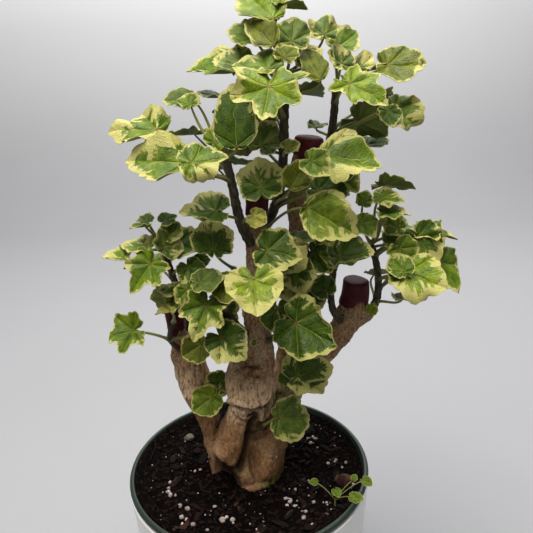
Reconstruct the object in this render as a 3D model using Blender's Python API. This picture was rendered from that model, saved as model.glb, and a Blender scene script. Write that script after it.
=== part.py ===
"""A potted aralia with round, scalloped, cream-edged leaves.

It is a stump plant: thick gnarled limbs that join at the soil, cut ends sealed with dark red wax,
and ridged leafy shoots that stand in the wood. It grows in a green nursery pot, which hangs by its
rolled rim in a plain white outer pot.

Metres, +Z up. The origin is the middle of the outer pot's flat underside. The front is -Y, with +X
to its right. Sizes below are in millimetres and turned to metres where a mesh is made.
"""

import math
import random

import bmesh
import bpy
from mathutils import Vector

MM = 0.001
GAP = 0.3
SHARP_ANGLE = math.radians(40.0)
WELDS = (0.002, 0.001, 0.004, 0.008, 0.0005)

# Outer pot: a slightly tapered cylinder with a flat foot
OUTER_TOP_RADIUS = 80.0
OUTER_FOOT_RADIUS = 71.0
OUTER_HEIGHT = 143.4
OUTER_WALL = 2.8
OUTER_FLOOR = 5.0

# Nursery pot: a thin cup whose rolled rim rests on the outer pot's lip
RIM_RADIUS = 80.0
RIM_TOP = 148.0
RIM_INNER_RADIUS = 77.0
POT_TOP_RADIUS = 76.8
POT_FOOT_RADIUS = 64.0
POT_BOTTOM = 18.0
POT_WALL = 1.2
POT_FLOOR = 1.8
DRAIN_HOLES = 6
DRAIN_HOLE_RADIUS = 4.0
DRAIN_RING_RADIUS = 46.0
POT_SIDES = 32

# Soil, with an oval hole for the foot of the plant
SOIL_TOP = 141.5
SOIL_SLOPE = -0.02
SOIL_RINGS = (0.97, 0.72, 0.42)
SOIL_ROUGHNESS = 1.3
FOOT_CENTRE = (2.0, -1.0)
FOOT_HALF_WIDTH = 18.5
FOOT_HALF_DEPTH = 21.0
FOOT_BOTTOM = 110.0
FOOT_TOP = 143.0
PERLITE_COUNT = 16
PERLITE_RADII = (1.6, 3.0)
CHIP_COUNT = 4

# The front view: places of limbs and leaves are given where the line of sight from this eye
# crosses the plane y = 0, with the depth y at which the thing really stands
EYE = Vector((17.0, -341.0, 409.0))
EYE_PITCH = math.radians(19.5)

# Limbs, each a list of (x, z, depth, radius) in the front view; the first point is buried
LIMBS = {
    "centre": [(-7, 124, -9, 15), (-12, 143, -10, 12.8), (-12.5, 155, -10, 11.8),
               (-10, 165, -9, 11.3), (-6.5, 175, -8, 10.8), (-2.7, 183, -7, 10.5),
               (0.5, 188, -6, 12.0), (3, 194, -6, 14.8), (4, 202, -6, 15.7), (4.6, 211, -6, 15.6),
               (6, 218, -6, 13.6), (10, 225, -5, 9.6), (10.6, 240, -4, 7.8), (9, 258, -3, 8.1),
               (9.5, 284, 0, 5.3), (10, 300, 2, 4.8), (11, 311, 3, 5.8), (12.5, 322, 3, 5.0),
               (13.5, 334, 3, 4.8)],
    "right": [(8, 124, -4, 13), (12.5, 143, -5, 11.2), (13.3, 154, -4, 11.0),
              (14.1, 164, -2, 11.2), (15.3, 174, 1, 10.6), (18.6, 184, 5, 9.8),
              (24, 193, 9, 9.6), (30, 204, 12, 9.4), (38, 217, 14, 9.2), (52, 231, 14, 8.6),
              (63, 244, 13, 8.2), (69, 255, 12, 9.0), (70.5, 266, 11, 7.0), (71, 276, 10, 6.4)],
    "left": [(-14, 124, 2, 12), (-18, 148, 3, 10), (-20, 162, 6, 8.2), (-22, 172, 8, 7.4),
             (-24, 181, 10, 7.2), (-27, 190, 11, 7.8), (-30.5, 203, 12, 10.4),
             (-32.5, 215, 12, 11.4), (-35.5, 229, 11, 10.6), (-38, 240, 11, 7.4),
             (-40, 248, 10, 4.9), (-41.5, 261, 10, 4.2)],
    "back": [(16, 178, 16, 10), (23, 205, 22, 8.6), (30, 240, 24, 7.4), (36, 280, 23, 6.6),
             (37, 310, 20, 5.8), (35.5, 328, 20, 5.4), (39, 345, 20, 6.4), (43, 356, 20, 7.8),
             (44, 363, 20, 7.4)],
    "front toe": [(-8, 140, -10, 11), (-14, 146, -9, 10.5), (-18, 154, -4, 9), (-20, 161, 0, 6)],
    "heel": [(-31, 206, 9, 8), (-35.5, 202, 7, 6), (-39, 199, 6, 3.2)],
    "fork heel": [(66, 250, 10, 6), (76, 254, 11, 6.0), (80, 260, 11, 4.6)],
}
LIMB_SIDES = 10
LIMB_STEPS = 1
GNARL = 0.075

# Wax caps: the limb whose end each one covers, and how far down it reaches
CAPS = {
    "wax_cap_centre": ("centre", 12.0),
    "wax_cap_right": ("right", 13.0),
    "wax_cap_left": ("left", 13.0),
    "wax_cap_back": ("back", 11.0),
}
CAP_THICKNESS = 1.3

# Leaf blades: a circle that the joint sits in, with a notch behind the joint
BLADE_THICKNESS = 0.9
LOBE_STEP = math.radians(56.0)
FORMS = {
    "round": dict(offset=0.20, point=0.01, notch=0.80, lobes=0.03, cup=0.22, fold=0.10, curl=0.10,
                  wave=0.035, waves=3),
    "heart": dict(offset=0.15, point=0.07, notch=0.80, lobes=0.05, cup=0.10, fold=0.20, curl=0.20,
                  wave=0.040, waves=3),
    "lobed": dict(offset=0.12, point=0.12, notch=0.75, lobes=0.24, cup=0.05, fold=0.16, curl=0.20,
                  wave=0.050, waves=4),
    "long": dict(offset=0.40, point=0.14, notch=0.60, lobes=0.06, cup=0.05, fold=0.35, curl=0.15,
                 wave=0.035, waves=3),
    "star": dict(offset=0.02, point=0.06, notch=0.60, lobes=0.26, cup=0.05, fold=0.16, curl=0.15,
                 wave=0.050, waves=4),
    "oval": dict(offset=0.42, point=0.42, notch=0.60, lobes=0.03, cup=0.05, fold=0.30, curl=0.12,
                 wave=0.030, waves=3),
    "ruffled": dict(offset=0.20, point=0.05, notch=0.80, lobes=0.10, cup=0.10, fold=0.15, curl=0.30,
                    wave=0.085, waves=5),
}
SCALLOP_DEPTH = 0.12
MARGIN_POINTS = ((25.0, 12), (14.0, 10), (0.0, 8))
PETIOLE_RADIUS = 0.85
PETIOLE_PARTS = 2

# Shoots. stem: (x, z, depth) in the front view, from the foot in the wood to the tip.
# leaves: the joint's x, z and depth, the angle of the tip in the front view (0 right, 90 up),
# how far the face tilts up from the viewer and turns to the right, the width, and the form
SHOOTS = {
    "crown_shoot": dict(
        radius=3.4,
        stem=[(12, 300, 6), (17, 311, 13), (23, 324, 14), (27, 337, 12), (29, 352, 9),
              (30, 370, 7), (31, 386, 5), (31, 397, 4)],
        leaves=[
            (26, 426, 2, 118, 28, 0, 30, "long"),
            (30, 431, 12, 20, 75, 0, 20, "heart"),
            (15, 417, 4, 155, 32, 0, 21, "round"),
            (25.5, 413, -9, 128, 15, 0, 16, "oval"),
            (35.5, 414.5, -2, 80, 10, 10, 20, "heart"),
            (31, 406.5, -12, 55, 25, 0, 14, "heart"),
            (50.5, 394.5, -8, 112, 10, 0, 15, "oval"),
            (52.5, 417, 8, 85, 15, 0, 18, "ruffled"),
            (4.5, 400, 6, 140, 48, 0, 30, "long"),
            (8, 403, -4, 140, 42, 0, 24, "round"),
            (22, 401, -16, 150, 45, 0, 27, "heart"),
            (22.5, 391.5, -32, -98, 34, 0, 41, "star"),
            (17, 360, 6, 60, 15, 0, 22, "round"),
            (51.5, 354.5, -16, -20, 36, 0, 30, "long"),
            (44.5, 350, -27, -35, 20, 0, 18, "heart"),
            (31.5, 358, -6, 30, 30, 0, 11, "heart"),
            (33, 335.5, -22, 60, 5, 0, 17, "long"),
            (42, 323, -28, -30, 12, 0, 29, "long"),
            (48.5, 333.5, -6, -15, 35, 0, 25, "round"),
            (16, 335.5, -14, 95, 15, 0, 27, "heart"),
            (62, 346, -2, -70, 20, 0, 14, "round"),
            (61, 341, 4, -50, 25, 0, 20, "heart"),
            (22, 400, 30, 120, 75, 0, 29, "round"),
            (36, 388, 40, 80, 82, 0, 32, "heart"),
            (10, 380, 28, 160, 70, 0, 28, "lobed"),
            (24, 362, 44, 110, 95, 0, 30, "heart"),
            (12, 350, 30, 150, 85, 0, 24, "round"),
            (20, 384, 38, -100, 138, 0, 28, "heart"),
            (6, 366, 34, -125, 142, 0, 25, "round"),
            (44, 404, 0, 95, 18, 0, 17, "heart"),
        ]),
    "top_right_shoot": dict(
        radius=3.0,
        stem=[(38, 334, 21), (46, 343, 28), (53, 352, 31), (56, 364, 28), (58, 378, 24),
              (59, 391, 21)],
        leaves=[
            (60, 411, 18, 40, 25, 0, 20, "round"),
            (62, 402, 6, 100, 15, 30, 18, "heart"),
            (72, 400, 14, 100, 35, 0, 20, "ruffled"),
            (87, 400.5, 16, -12, 28, 0, 28, "round"),
            (66.5, 391.5, -2, -45, 35, 0, 31, "lobed"),
            (88, 376, 6, -80, 20, 0, 14, "heart"),
            (91, 377, 14, -50, 30, 0, 27, "heart"),
            (71, 372, 26, -45, 125, 0, 30, "heart"),
            (48, 369, 36, 80, 60, 0, 13, "round"),
            (75, 358, 32, 20, 60, 0, 22, "round"),
            (70, 398, 42, 30, 80, 0, 28, "round"),
            (58, 388, 54, 90, 90, 0, 30, "heart"),
            (80, 384, 46, -10, 85, 0, 26, "lobed"),
            (50, 330, 46, -75, 138, 0, 26, "heart"),
        ]),
    "upper_left_shoot": dict(
        radius=3.2,
        stem=[(8.5, 303, -1), (4, 313, -6), (1, 326, -8), (-1, 340, -8), (-3, 353, -7)],
        leaves=[
            (-41, 371, 2, 172, 42, 0, 36, "ruffled"),
            (-27.5, 352, -20, 168, 25, 0, 31, "long"),
            (-23, 352, -34, 15, 45, 0, 26, "heart"),
            (-19, 386, 8, 172, 38, 0, 17, "long"),
            (-4, 387.5, 10, 158, 66, 0, 19, "round"),
            (-21, 384, 2, 110, 30, 0, 13, "heart"),
            (3, 360, -22, 91, -5, 0, 24, "oval"),
            (-9.5, 363, -8, 50, 20, 0, 16, "round"),
            (-11, 323, -22, 176, 42, 0, 28, "heart"),
            (10.5, 319.5, -20, -35, 10, 0, 12, "round"),
            (-20, 368, 28, 150, 80, 0, 28, "heart"),
            (-8, 348, 32, 170, 85, 0, 26, "round"),
        ]),
    "left_shoot": dict(
        radius=2.6,
        stem=[(-35.5, 245, 17), (-34, 258, 21), (-37, 272, 17), (-40, 286, 13), (-43, 299, 10),
              (-45, 308, 8)],
        leaves=[
            (-51.5, 319, 8, 125, 45, 0, 11, "heart"),
            (-53, 316, 2, 182, 78, 0, 13, "heart"),
            (-41.5, 318.5, 4, 45, 40, 0, 12, "heart"),
            (-54, 303.5, 0, 165, 58, 0, 22, "heart"),
            (-68, 297.5, -6, 186, 64, 0, 18, "round"),
            (-52.5, 292.5, -12, -125, 15, 0, 27, "lobed"),
            (-43, 302, -8, 48, 25, 40, 20, "heart"),
            (-41, 309, 0, 55, 35, 0, 16, "round"),
            (-36, 305, 6, -30, 40, 0, 25, "round"),
            (-24, 293, 8, 0, 20, 0, 11, "round"),
            (-37, 274, -4, 178, 62, 0, 18, "round"),
            (-38, 273, -5, -112, 15, 0, 15, "round"),
            (-32, 275, -14, -75, 10, 0, 17, "heart"),
            (-36, 306, 30, 100, 80, 0, 26, "round"),
            (-50, 294, 32, 150, 85, 0, 28, "heart"),
            (-28, 284, 38, 60, 90, 0, 27, "heart"),
            (-42, 272, 36, -110, 140, 0, 25, "heart"),
            (-30, 290, -4, -60, 10, 0, 18, "round"),
        ]),
    "low_left_shoot": dict(
        radius=1.8,
        stem=[(-41, 236, 4), (-45, 241, -3), (-45, 247, -6), (-42, 254, -7)],
        leaves=[
            (-68, 249, -8, 196, 28, 0, 28, "lobed"),
            (-26, 237.5, -16, -150, 0, 0, 19, "round"),
            (-43, 261, -17, 178, 75, 0, 13, "heart"),
        ]),
    "front_left_shoot": dict(
        radius=2.0,
        stem=[(5, 243, -6), (-2, 250, -15), (-8, 260, -18), (-12, 271, -17)],
        leaves=[
            (-21, 264.5, -27, -110, 15, 0, 29, "lobed"),
            (-15, 264, -14, -50, 25, 20, 24, "heart"),
            (-13, 242, -28, -45, 15, 0, 26, "heart"),
            (-24, 279, -24, 10, 50, 0, 21, "round"),
            (-10, 277, -22, -30, 20, 0, 20, "round"),
        ]),
    "centre_shoot": dict(
        radius=2.0,
        stem=[(10, 266, -3), (15, 272, -12), (19, 281, -15), (20, 290, -15)],
        leaves=[
            (18, 298, -26, -15, 20, 0, 27, "heart"),
            (27, 297, -14, -40, 10, 0, 23, "round"),
            (9, 279.5, -40, -88, 42, 0, 31, "heart"),
            (35, 304, -6, -5, 65, 0, 20, "round"),
            (35, 286, -13, -80, 10, 0, 22, "heart"),
            (32, 277, -13, -75, 10, 0, 20, "heart"),
            (26, 285, -8, -60, 5, 0, 18, "round"),
        ]),
    "back_shoot": dict(
        radius=1.8,
        stem=[(11, 252, 3), (14, 260, 12), (13, 270, 17), (11, 281, 18)],
        leaves=[
            (22, 288, 28, -60, 138, 0, 27, "heart"),
            (12, 262, 36, -90, 145, 0, 26, "heart"),
            (-4, 268, 24, 170, 110, 0, 22, "round"),
        ]),
    "centre_left_sprout": dict(
        radius=1.4,
        stem=[(8, 276, -1), (2, 281, -8), (-2, 287, -11)],
        leaves=[
            (-14, 300.5, -17, 95, 12, 0, 26, "heart"),
        ]),
    "front_right_shoot": dict(
        radius=2.0,
        stem=[(10, 236, -4), (19, 240, -13), (25, 246, -16), (30, 254, -16)],
        leaves=[
            (34, 250, -31, -32, 12, 0, 38, "heart"),
            (21, 258, -10, -100, 5, 0, 17, "round"),
            (31, 263, -11, -80, 0, 0, 18, "round"),
        ]),
    "fork_inner_shoot": dict(
        radius=2.6,
        stem=[(64, 249, 10), (58, 256, 3), (56, 266, 2), (57, 280, 2), (59, 293, 2), (61, 302, 2)],
        leaves=[
            (61, 292, -15, 5, 35, 0, 28, "round"),
            (60, 291, -6, 110, 10, 0, 19, "heart"),
            (45, 295, -4, -50, 15, 0, 22, "heart"),
            (53, 270, -6, 120, 10, 0, 16, "round"),
            (44, 270, -2, -60, 0, 0, 16, "round"),
            (73, 313, -2, -60, 35, 0, 18, "heart"),
            (58, 302, 28, 120, 85, 0, 27, "round"),
            (46, 290, 45, 170, 90, 0, 25, "heart"),
        ]),
    "fork_outer_shoot": dict(
        radius=2.8,
        stem=[(75, 252, 11), (83, 261, 13), (85, 274, 13), (83, 288, 13), (80, 300, 13)],
        leaves=[
            (75, 325, 6, 70, 10, 0, 11, "heart"),
            (87, 335, 12, -40, 100, 0, 26, "lobed"),
            (85, 327, 3, -25, 50, 0, 19, "heart"),
            (88, 318, -2, -30, 60, 0, 20, "heart"),
            (108, 303, 4, -60, 5, 0, 28, "heart"),
            (111, 306, 12, -33, 60, 0, 27, "lobed"),
            (91, 300, 4, 15, 30, 0, 17, "round"),
            (97, 296, -4, -50, 10, 20, 22, "heart"),
            (101.5, 280.5, -12, -36, 38, 0, 34, "heart"),
            (100, 281, -17, 115, 30, 0, 17, "round"),
            (122, 286, 4, -62, 20, 30, 30, "heart"),
            (100, 263, -2, -32, 80, 0, 26, "round"),
            (81, 255, 2, 80, 10, 0, 8, "round"),
            (92, 306, 32, 30, 85, 0, 27, "round"),
            (100, 290, 36, 0, 90, 0, 27, "heart"),
            (82, 280, 40, 80, 95, 0, 24, "round"),
            (96, 309, 4, 150, 25, 0, 16, "heart"),
        ]),
    "low_right_sprout": dict(
        radius=1.3,
        stem=[(14, 202, -2), (22, 200, -8), (25, 202, -9)],
        leaves=[
            (34.5, 212, -14, 20, 36, 0, 32, "heart"),
            (25, 209, -11, 60, 0, 0, 9, "round"),
        ]),
    "foot_sprout": dict(
        radius=1.1,
        stem=[(-2, 170, -9), (5, 172, -14), (11, 176, -15)],
        leaves=[
            (21.5, 181, -16, -4, 5, 32, 30, "round"),
        ]),
    "crotch_sprout": dict(
        radius=1.3,
        stem=[(-21, 176, 5), (-17, 183, 1), (-17.5, 192, 1), (-18.5, 199, 3)],
        leaves=[
            (-21.5, 199.5, -8, -145, 10, 0, 21, "round"),
            (-14, 211, 2, -148, 10, 0, 18, "round"),
        ]),
}
FOOT_SOCKET = 12.0
STEM_SIDES = 5
STEM_RIDGE = 0.14
RIDGE_PITCH = 5.5

# A weed seedling in the soil at the front right: where it stands, then each leaflet's offset
# from there, the angle of its tip and its width
SEEDLING_FOOT = (54.0, -37.0)
SEEDLING_RADIUS = 0.7
SEEDLING_LEAFLETS = [(-11, 8, 10.5, 170, 7), (0.5, 2.5, 8.5, 280, 8), (9, -9, 12.5, 340, 10),
                     (18, 2, 16, 300, 9), (12, 5, 14, 70, 6)]

COLOURS = {
    "outer_pot": ((0.80, 0.79, 0.76, 1), 0.35),
    "nursery_pot": ((0.030, 0.055, 0.032, 1), 0.45),
    "soil": ((0.022, 0.014, 0.010, 1), 0.95),
    "bark": ((0.21, 0.13, 0.075, 1), 0.85),
    "wax": ((0.075, 0.008, 0.012, 1), 0.35),
    "leaf": ((0.13, 0.23, 0.04, 1), 0.45),
}


def place(x, z, depth):
    """The point at a depth on the line of sight through (x, 0, z)."""
    share = (depth - EYE.y) / -EYE.y
    return EYE + (Vector((x, 0.0, z)) - EYE) * share


def material(kind):
    found = bpy.data.materials.get(kind)
    if found:
        return found
    colour, roughness = COLOURS[kind]
    made = bpy.data.materials.new(kind)
    made.use_nodes = True
    shader = made.node_tree.nodes["Principled BSDF"]
    shader.inputs["Base Color"].default_value = colour
    shader.inputs["Roughness"].default_value = roughness
    made.diffuse_color = colour
    return made


def add_object(name, shape, kind, collection=None):
    """One mesh object from (points, faces), with the points in millimetres."""
    points, faces = shape
    mesh = bpy.data.meshes.new(name)
    mesh.from_pydata([tuple(value * MM for value in point) for point in points], [], faces)
    mesh.materials.append(material(kind))
    made = bpy.data.objects.new(name, mesh)
    (collection or bpy.context.scene.collection).objects.link(made)
    return made


def smooth_rows(rows, steps):
    """Catmull-Rom through rows of numbers, with steps rows for each stretch."""
    out = []
    for index in range(len(rows) - 1):
        before = rows[max(index - 1, 0)]
        start, end = rows[index], rows[index + 1]
        after = rows[min(index + 2, len(rows) - 1)]
        for step in range(steps):
            t = step / steps
            out.append([0.5 * (2 * b + (c - a) * t + (2 * a - 5 * b + 4 * c - d) * t * t
                               + (3 * b - a - 3 * c + d) * t ** 3)
                        for a, b, c, d in zip(before, start, end, after)])
    out.append(list(rows[-1]))
    return out


def rings_along(centres, radii, sides, swell=None, side=None):
    """Rings of points round a path, each square to it and turned as little as can be."""
    rings = []
    for index, centre in enumerate(centres):
        ahead = centres[min(index + 1, len(centres) - 1)] - centres[max(index - 1, 0)]
        ahead.normalize()
        if side is None:
            side = ahead.orthogonal()
        side = (side - ahead * side.dot(ahead)).normalized()
        other = ahead.cross(side)
        ring = []
        for step in range(sides):
            angle = 2 * math.pi * step / sides
            reach = radii[index] * (swell(index, angle) if swell else 1.0)
            ring.append(centre + side * math.cos(angle) * reach + other * math.sin(angle) * reach)
        rings.append(ring)
    return rings


def tube_from_rings(rings, split=False):
    """A closed tube through rings, with flat ends; split makes its sides triangles."""
    sides = len(rings[0])
    points = [point for ring in rings for point in ring]
    faces = [tuple(reversed(range(sides)))]
    for row in range(len(rings) - 1):
        for step in range(sides):
            following = (step + 1) % sides
            here, after = row * sides, (row + 1) * sides
            if split:
                faces.append((here + step, here + following, after + following))
                faces.append((here + step, after + following, after + step))
            else:
                faces.append((here + step, here + following, after + following, after + step))
    last = (len(rings) - 1) * sides
    faces.append(tuple(last + step for step in range(sides)))
    return points, faces


def turned(profile, sides):
    """A closed profile of (radius, height) turned round Z; it runs anticlockwise seen with the
    radius to the right. A radius of 0 makes a pole."""
    points = []
    rows = []
    for radius, height in profile:
        if radius == 0:
            rows.append([len(points)] * sides)
            points.append((0.0, 0.0, height))
        else:
            rows.append([len(points) + step for step in range(sides)])
            points += [(radius * math.cos(2 * math.pi * step / sides),
                        radius * math.sin(2 * math.pi * step / sides), height)
                       for step in range(sides)]
    faces = []
    for index, row in enumerate(rows):
        after = rows[(index + 1) % len(rows)]
        for step in range(sides):
            following = (step + 1) % sides
            corners = [row[step], row[following], after[following], after[step]]
            face = [c for place_, c in enumerate(corners) if c not in corners[:place_]]
            if len(face) > 2:
                faces.append(tuple(face))
    return points, faces


def apply_modifiers(item):
    """Turn the evaluated mesh into the object's own, and drop loose scraps and sealed hollows.
    The first weld that leaves no open edge is kept."""
    depsgraph = bpy.context.evaluated_depsgraph_get()
    mesh = bpy.data.meshes.new_from_object(item.evaluated_get(depsgraph))
    item.modifiers.clear()
    for weld in WELDS:
        item.data = mesh.copy()
        keep_largest_body(item.data, weld)
        if is_closed(item.data):
            break


def keep_largest_body(mesh, weld):
    work = bmesh.new()
    work.from_mesh(mesh)
    bmesh.ops.remove_doubles(work, verts=work.verts, dist=weld * MM)
    bmesh.ops.dissolve_degenerate(work, edges=work.edges, dist=weld * MM)
    bmesh.ops.triangulate(work, faces=work.faces)
    corners = {}
    for face in work.faces:
        corners.setdefault(frozenset(face.verts), []).append(face)
    folded = [face for faces in corners.values() if len(faces) > 1 for face in faces]
    bmesh.ops.delete(work, geom=folded, context="FACES")
    left = set(work.faces)
    bodies = []
    while left:
        body = [left.pop()]
        for face in body:
            for edge in face.edges:
                for other in edge.link_faces:
                    if other in left:
                        left.discard(other)
                        body.append(other)
        bodies.append(body)
    bodies.sort(key=len, reverse=True)
    scraps = [face for body in bodies[1:] for face in body]
    bmesh.ops.delete(work, geom=scraps, context="FACES")
    work.to_mesh(mesh)
    work.free()


def is_closed(mesh):
    work = bmesh.new()
    work.from_mesh(mesh)
    closed = all(len(edge.link_faces) == 2 for edge in work.edges)
    work.free()
    return closed


def combine(item, collection, operation):
    """One Boolean of an object with all of a collection, applied, and the collection removed."""
    boolean = item.modifiers.new(operation.lower(), "BOOLEAN")
    boolean.operation = operation
    boolean.operand_type = "COLLECTION"
    boolean.collection = collection
    boolean.solver = "EXACT"
    boolean.use_self = operation == "UNION"
    apply_modifiers(item)
    for used in list(collection.objects):
        bpy.data.objects.remove(used)
    bpy.data.collections.remove(collection)


def new_collection(name):
    made = bpy.data.collections.new(name)
    bpy.context.scene.collection.children.link(made)
    return made


def limb_rings(name, extra=0.0, sides=LIMB_SIDES):
    """A limb's centres, radii and gnarled rings."""
    rows = smooth_rows(LIMBS[name], LIMB_STEPS)
    centres = [place(x, z, depth) for x, z, depth, radius in rows]
    radii = [row[3] + extra for row in rows]
    shift = len(name)

    def gnarl(index, angle):
        turn = 0.8 * index + shift
        return 1 + GNARL * (math.sin(2 * angle + turn) + 0.7 * math.sin(3 * angle - 1.7 * turn))
    return centres, radii, rings_along(centres, radii, sides, gnarl)


def lumps(centre, radius, rng):
    """A small eight-faced lump of perlite, squashed a little at random."""
    reach = [radius * rng.uniform(0.7, 1.15) for _ in range(6)]
    x, y, z = centre
    points = [(x + reach[0], y, z), (x, y + reach[1], z), (x - reach[2], y, z),
              (x, y - reach[3], z), (x, y, z + reach[4]), (x, y, z - reach[5] - 1.0)]
    faces = [(0, 1, 4), (1, 2, 4), (2, 3, 4), (3, 0, 4), (1, 0, 5), (2, 1, 5), (3, 2, 5), (0, 3, 5)]
    return points, faces


def chip(centre, length, angle, rng):
    """A flat chip of bark lying on the soil."""
    x, y, z = centre
    half = length / 2
    wide = length * 0.22
    points = []
    for height in (z - 1.5, z + rng.uniform(0.8, 1.6)):
        for along, across in ((-half, -wide), (half, -wide * 0.6), (half * 0.8, wide), (-half, wide)):
            points.append((x + along * math.cos(angle) - across * math.sin(angle),
                           y + along * math.sin(angle) + across * math.cos(angle), height))
    faces = [(3, 2, 1, 0), (4, 5, 6, 7)]
    faces += [(i, (i + 1) % 4, 4 + (i + 1) % 4, 4 + i) for i in range(4)]
    return points, faces


def oval_prism(centre, half_width, half_depth, bottom, top, sides):
    ring = [(centre[0] + half_width * math.cos(2 * math.pi * step / sides),
             centre[1] + half_depth * math.sin(2 * math.pi * step / sides)) for step in range(sides)]
    rings = [[Vector((x, y, height)) for x, y in ring] for height in (bottom, top)]
    return tube_from_rings(rings)


def margin_reach(angle, form):
    """Joint to margin as a share of the width: a circle that the joint sits in, a tip in front,
    a notch behind, and shallow lobes between."""
    away = abs(angle)
    circle = (form["offset"] * math.cos(angle)
              + math.sqrt(0.25 - (form["offset"] * math.sin(angle)) ** 2))
    tip = form["point"] * math.exp(-(angle / 0.45) ** 2)
    notch = 1 - form["notch"] * math.exp(-((math.pi - away) / 0.34) ** 2)
    lobes = 1 - form["lobes"] * (0.5 - 0.5 * math.cos(2 * math.pi * away / LOBE_STEP))
    return (circle + tip) * notch * lobes


def blade_height(ahead, across, form, phase):
    """How high the blade stands over its joint's plane, as a share of the width."""
    reach = math.hypot(ahead, across)
    angle = math.atan2(across, ahead)
    cup = form["cup"] * reach ** 2
    fold = form["fold"] * (math.sqrt(across ** 2 + 0.01) - 0.1)
    curl = form["curl"] * max(ahead, 0.0) ** 2
    wave = form["wave"] * math.sin(form["waves"] * angle + phase) * min(4 * reach ** 2, 1.5)
    return cup + fold - curl + wave


def leaf_axes(tip_angle, face_up, face_right):
    """The blade's tip, across and face directions, from how it looks in the front view."""
    right = Vector((1, 0, 0))
    toward = Vector((0, -math.cos(EYE_PITCH), math.sin(EYE_PITCH)))
    up = Vector((0, math.sin(EYE_PITCH), math.cos(EYE_PITCH)))
    tilt, turn, aim = (math.radians(value) for value in (face_up, face_right, tip_angle))
    face = toward * math.cos(tilt) + up * math.sin(tilt)
    face = (face * math.cos(turn) + right * math.sin(turn)).normalized()
    tip = right * math.cos(aim) + up * math.sin(aim)
    tip = (tip - face * tip.dot(face)).normalized()
    return tip, face.cross(tip), face


def leaf(joint, axes, width, form, phase, path):
    """A thin blade, a fan from the joint to the scalloped margin and alike on both faces, that
    grows out of its three-sided stalk."""
    tip, across, face = axes
    count = next(points for least, points in MARGIN_POINTS if width >= least)
    half = face * (BLADE_THICKNESS / 2)
    ring = []
    for step in range(count):
        angle = 2 * math.pi * (step + 0.5) / count
        angle = angle - 2 * math.pi if angle > math.pi else angle
        scallop = 1 - SCALLOP_DEPTH * (step % 2)
        reach = margin_reach(angle, form) * scallop
        x, y = reach * math.cos(angle), reach * math.sin(angle)
        height = blade_height(x, y, form, phase)
        ring.append(joint + (tip * x + across * y + face * height) * width)
    points = [joint + half] + [point + half for point in ring] + [point - half for point in ring]
    low, neck = 1 + count, 1 + 2 * count
    faces = []
    for step in range(count):
        here, following = step, (step + 1) % count
        inner = neck + stalk_corner(step, count)
        faces.append((0, 1 + here, 1 + following))
        faces.append((inner, low + following, low + here))
        faces.append((1 + here, low + here, low + following))
        faces.append((1 + here, low + following, 1 + following))
        if stalk_corner(following, count) != stalk_corner(step, count):
            faces.append((inner, neck + stalk_corner(following, count), low + following))
    back = path[::-1]
    radii = [PETIOLE_RADIUS * (0.75 + 0.25 * i / (len(back) - 1)) for i in range(len(back))]
    rings = rings_along(back, radii, 3, side=tip)
    rings[0] = [joint - half + (tip * math.cos(turn) - across * math.sin(turn)) * radii[0]
                for turn in (0, math.pi * 2 / 3, math.pi * 4 / 3)]
    points += [point for ring in rings for point in ring]
    for row in range(len(rings) - 1):
        for step in range(3):
            near, far = neck + 3 * row, neck + 3 * row + 3
            following = (step + 1) % 3
            faces.append((near + step, near + following, far + following, far + step))
    last = neck + 3 * (len(rings) - 1)
    faces.append((last, last + 1, last + 2))
    return points, faces


def stalk_corner(step, count):
    """Which of the stalk's three corners a stretch of the lower margin fans out from."""
    turn = ((step + 1) / count) % 1.0
    return (0, 2, 1)[int(turn * 3 + 0.5) % 3]


def petiole_path(stem, joint, axes, parts):
    """From the stem, out and up, then to the joint from behind and under the blade."""
    tip, across, face = axes
    clear = [point for point in stem if (point - stem[0]).length > FOOT_SOCKET] or stem[-1:]
    start = min(clear, key=lambda point: abs(
        point.z + 0.5 * (point - joint).to_2d().length - joint.z))
    span = (joint - start).length
    outward = (joint - start).to_2d()
    outward = Vector((outward.x, outward.y, 0)).normalized() if outward.length > 0.1 else tip
    leave = start + (outward * 0.30 + Vector((0, 0, 0.22))) * span
    arrive = joint - (tip * 0.55 + face * 0.60).normalized() * span * 0.30
    path = []
    for step in range(parts + 1):
        t = step / parts
        path.append(start * (1 - t) ** 3 + leave * 3 * t * (1 - t) ** 2
                    + arrive * 3 * t * t * (1 - t) + joint * t ** 3)
    front = (path[-2] - joint).dot(face) + 1.0
    path[-2] = path[-2] - face * max(front, 0.0)
    return path


def stem_centres(shoot):
    """The stem's path with a centre for each ridge and each valley."""
    rough = [place(*row) for row in smooth_rows(shoot["stem"], 4)]
    lengths = [0.0]
    for start, end in zip(rough, rough[1:]):
        lengths.append(lengths[-1] + (end - start).length)
    count = max(int(lengths[-1] / RIDGE_PITCH), 3)
    centres = []
    for step in range(count + 1):
        wanted = lengths[-1] * step / count
        index = max(i for i in range(len(rough)) if lengths[i] <= wanted + 1e-6)
        index = min(index, len(rough) - 2)
        share = (wanted - lengths[index]) / (lengths[index + 1] - lengths[index])
        centres.append(rough[index].lerp(rough[index + 1], share))
    return centres


def stem_radii(shoot, centres):
    """Full in the wood, ridged above it, and drawn in to a bud at the tip."""
    count = len(centres)
    radii = []
    for index in range(count):
        taper = 1 - 0.25 * index / (count - 1)
        ridge = 1 - STEM_RIDGE * (index % 2)
        radii.append(shoot["radius"] * taper * ridge)
    radii[-1] *= 0.45
    return radii


def socket(shoot):
    """The plain hole in the wood that a shoot's foot stands in."""
    centres = stem_centres(shoot)
    first = centres[0] - (centres[1] - centres[0]).normalized() * GAP * 1.5
    reach = [c for c in centres if (c - centres[0]).length < FOOT_SOCKET]
    reach = [first] + reach[1:] + [reach[-1] + (reach[-1] - reach[0]).normalized() * 1.0]
    radius = shoot["radius"] + 2 * GAP
    return tube_from_rings(rings_along(reach, [radius] * len(reach), STEM_SIDES + 3))


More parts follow.
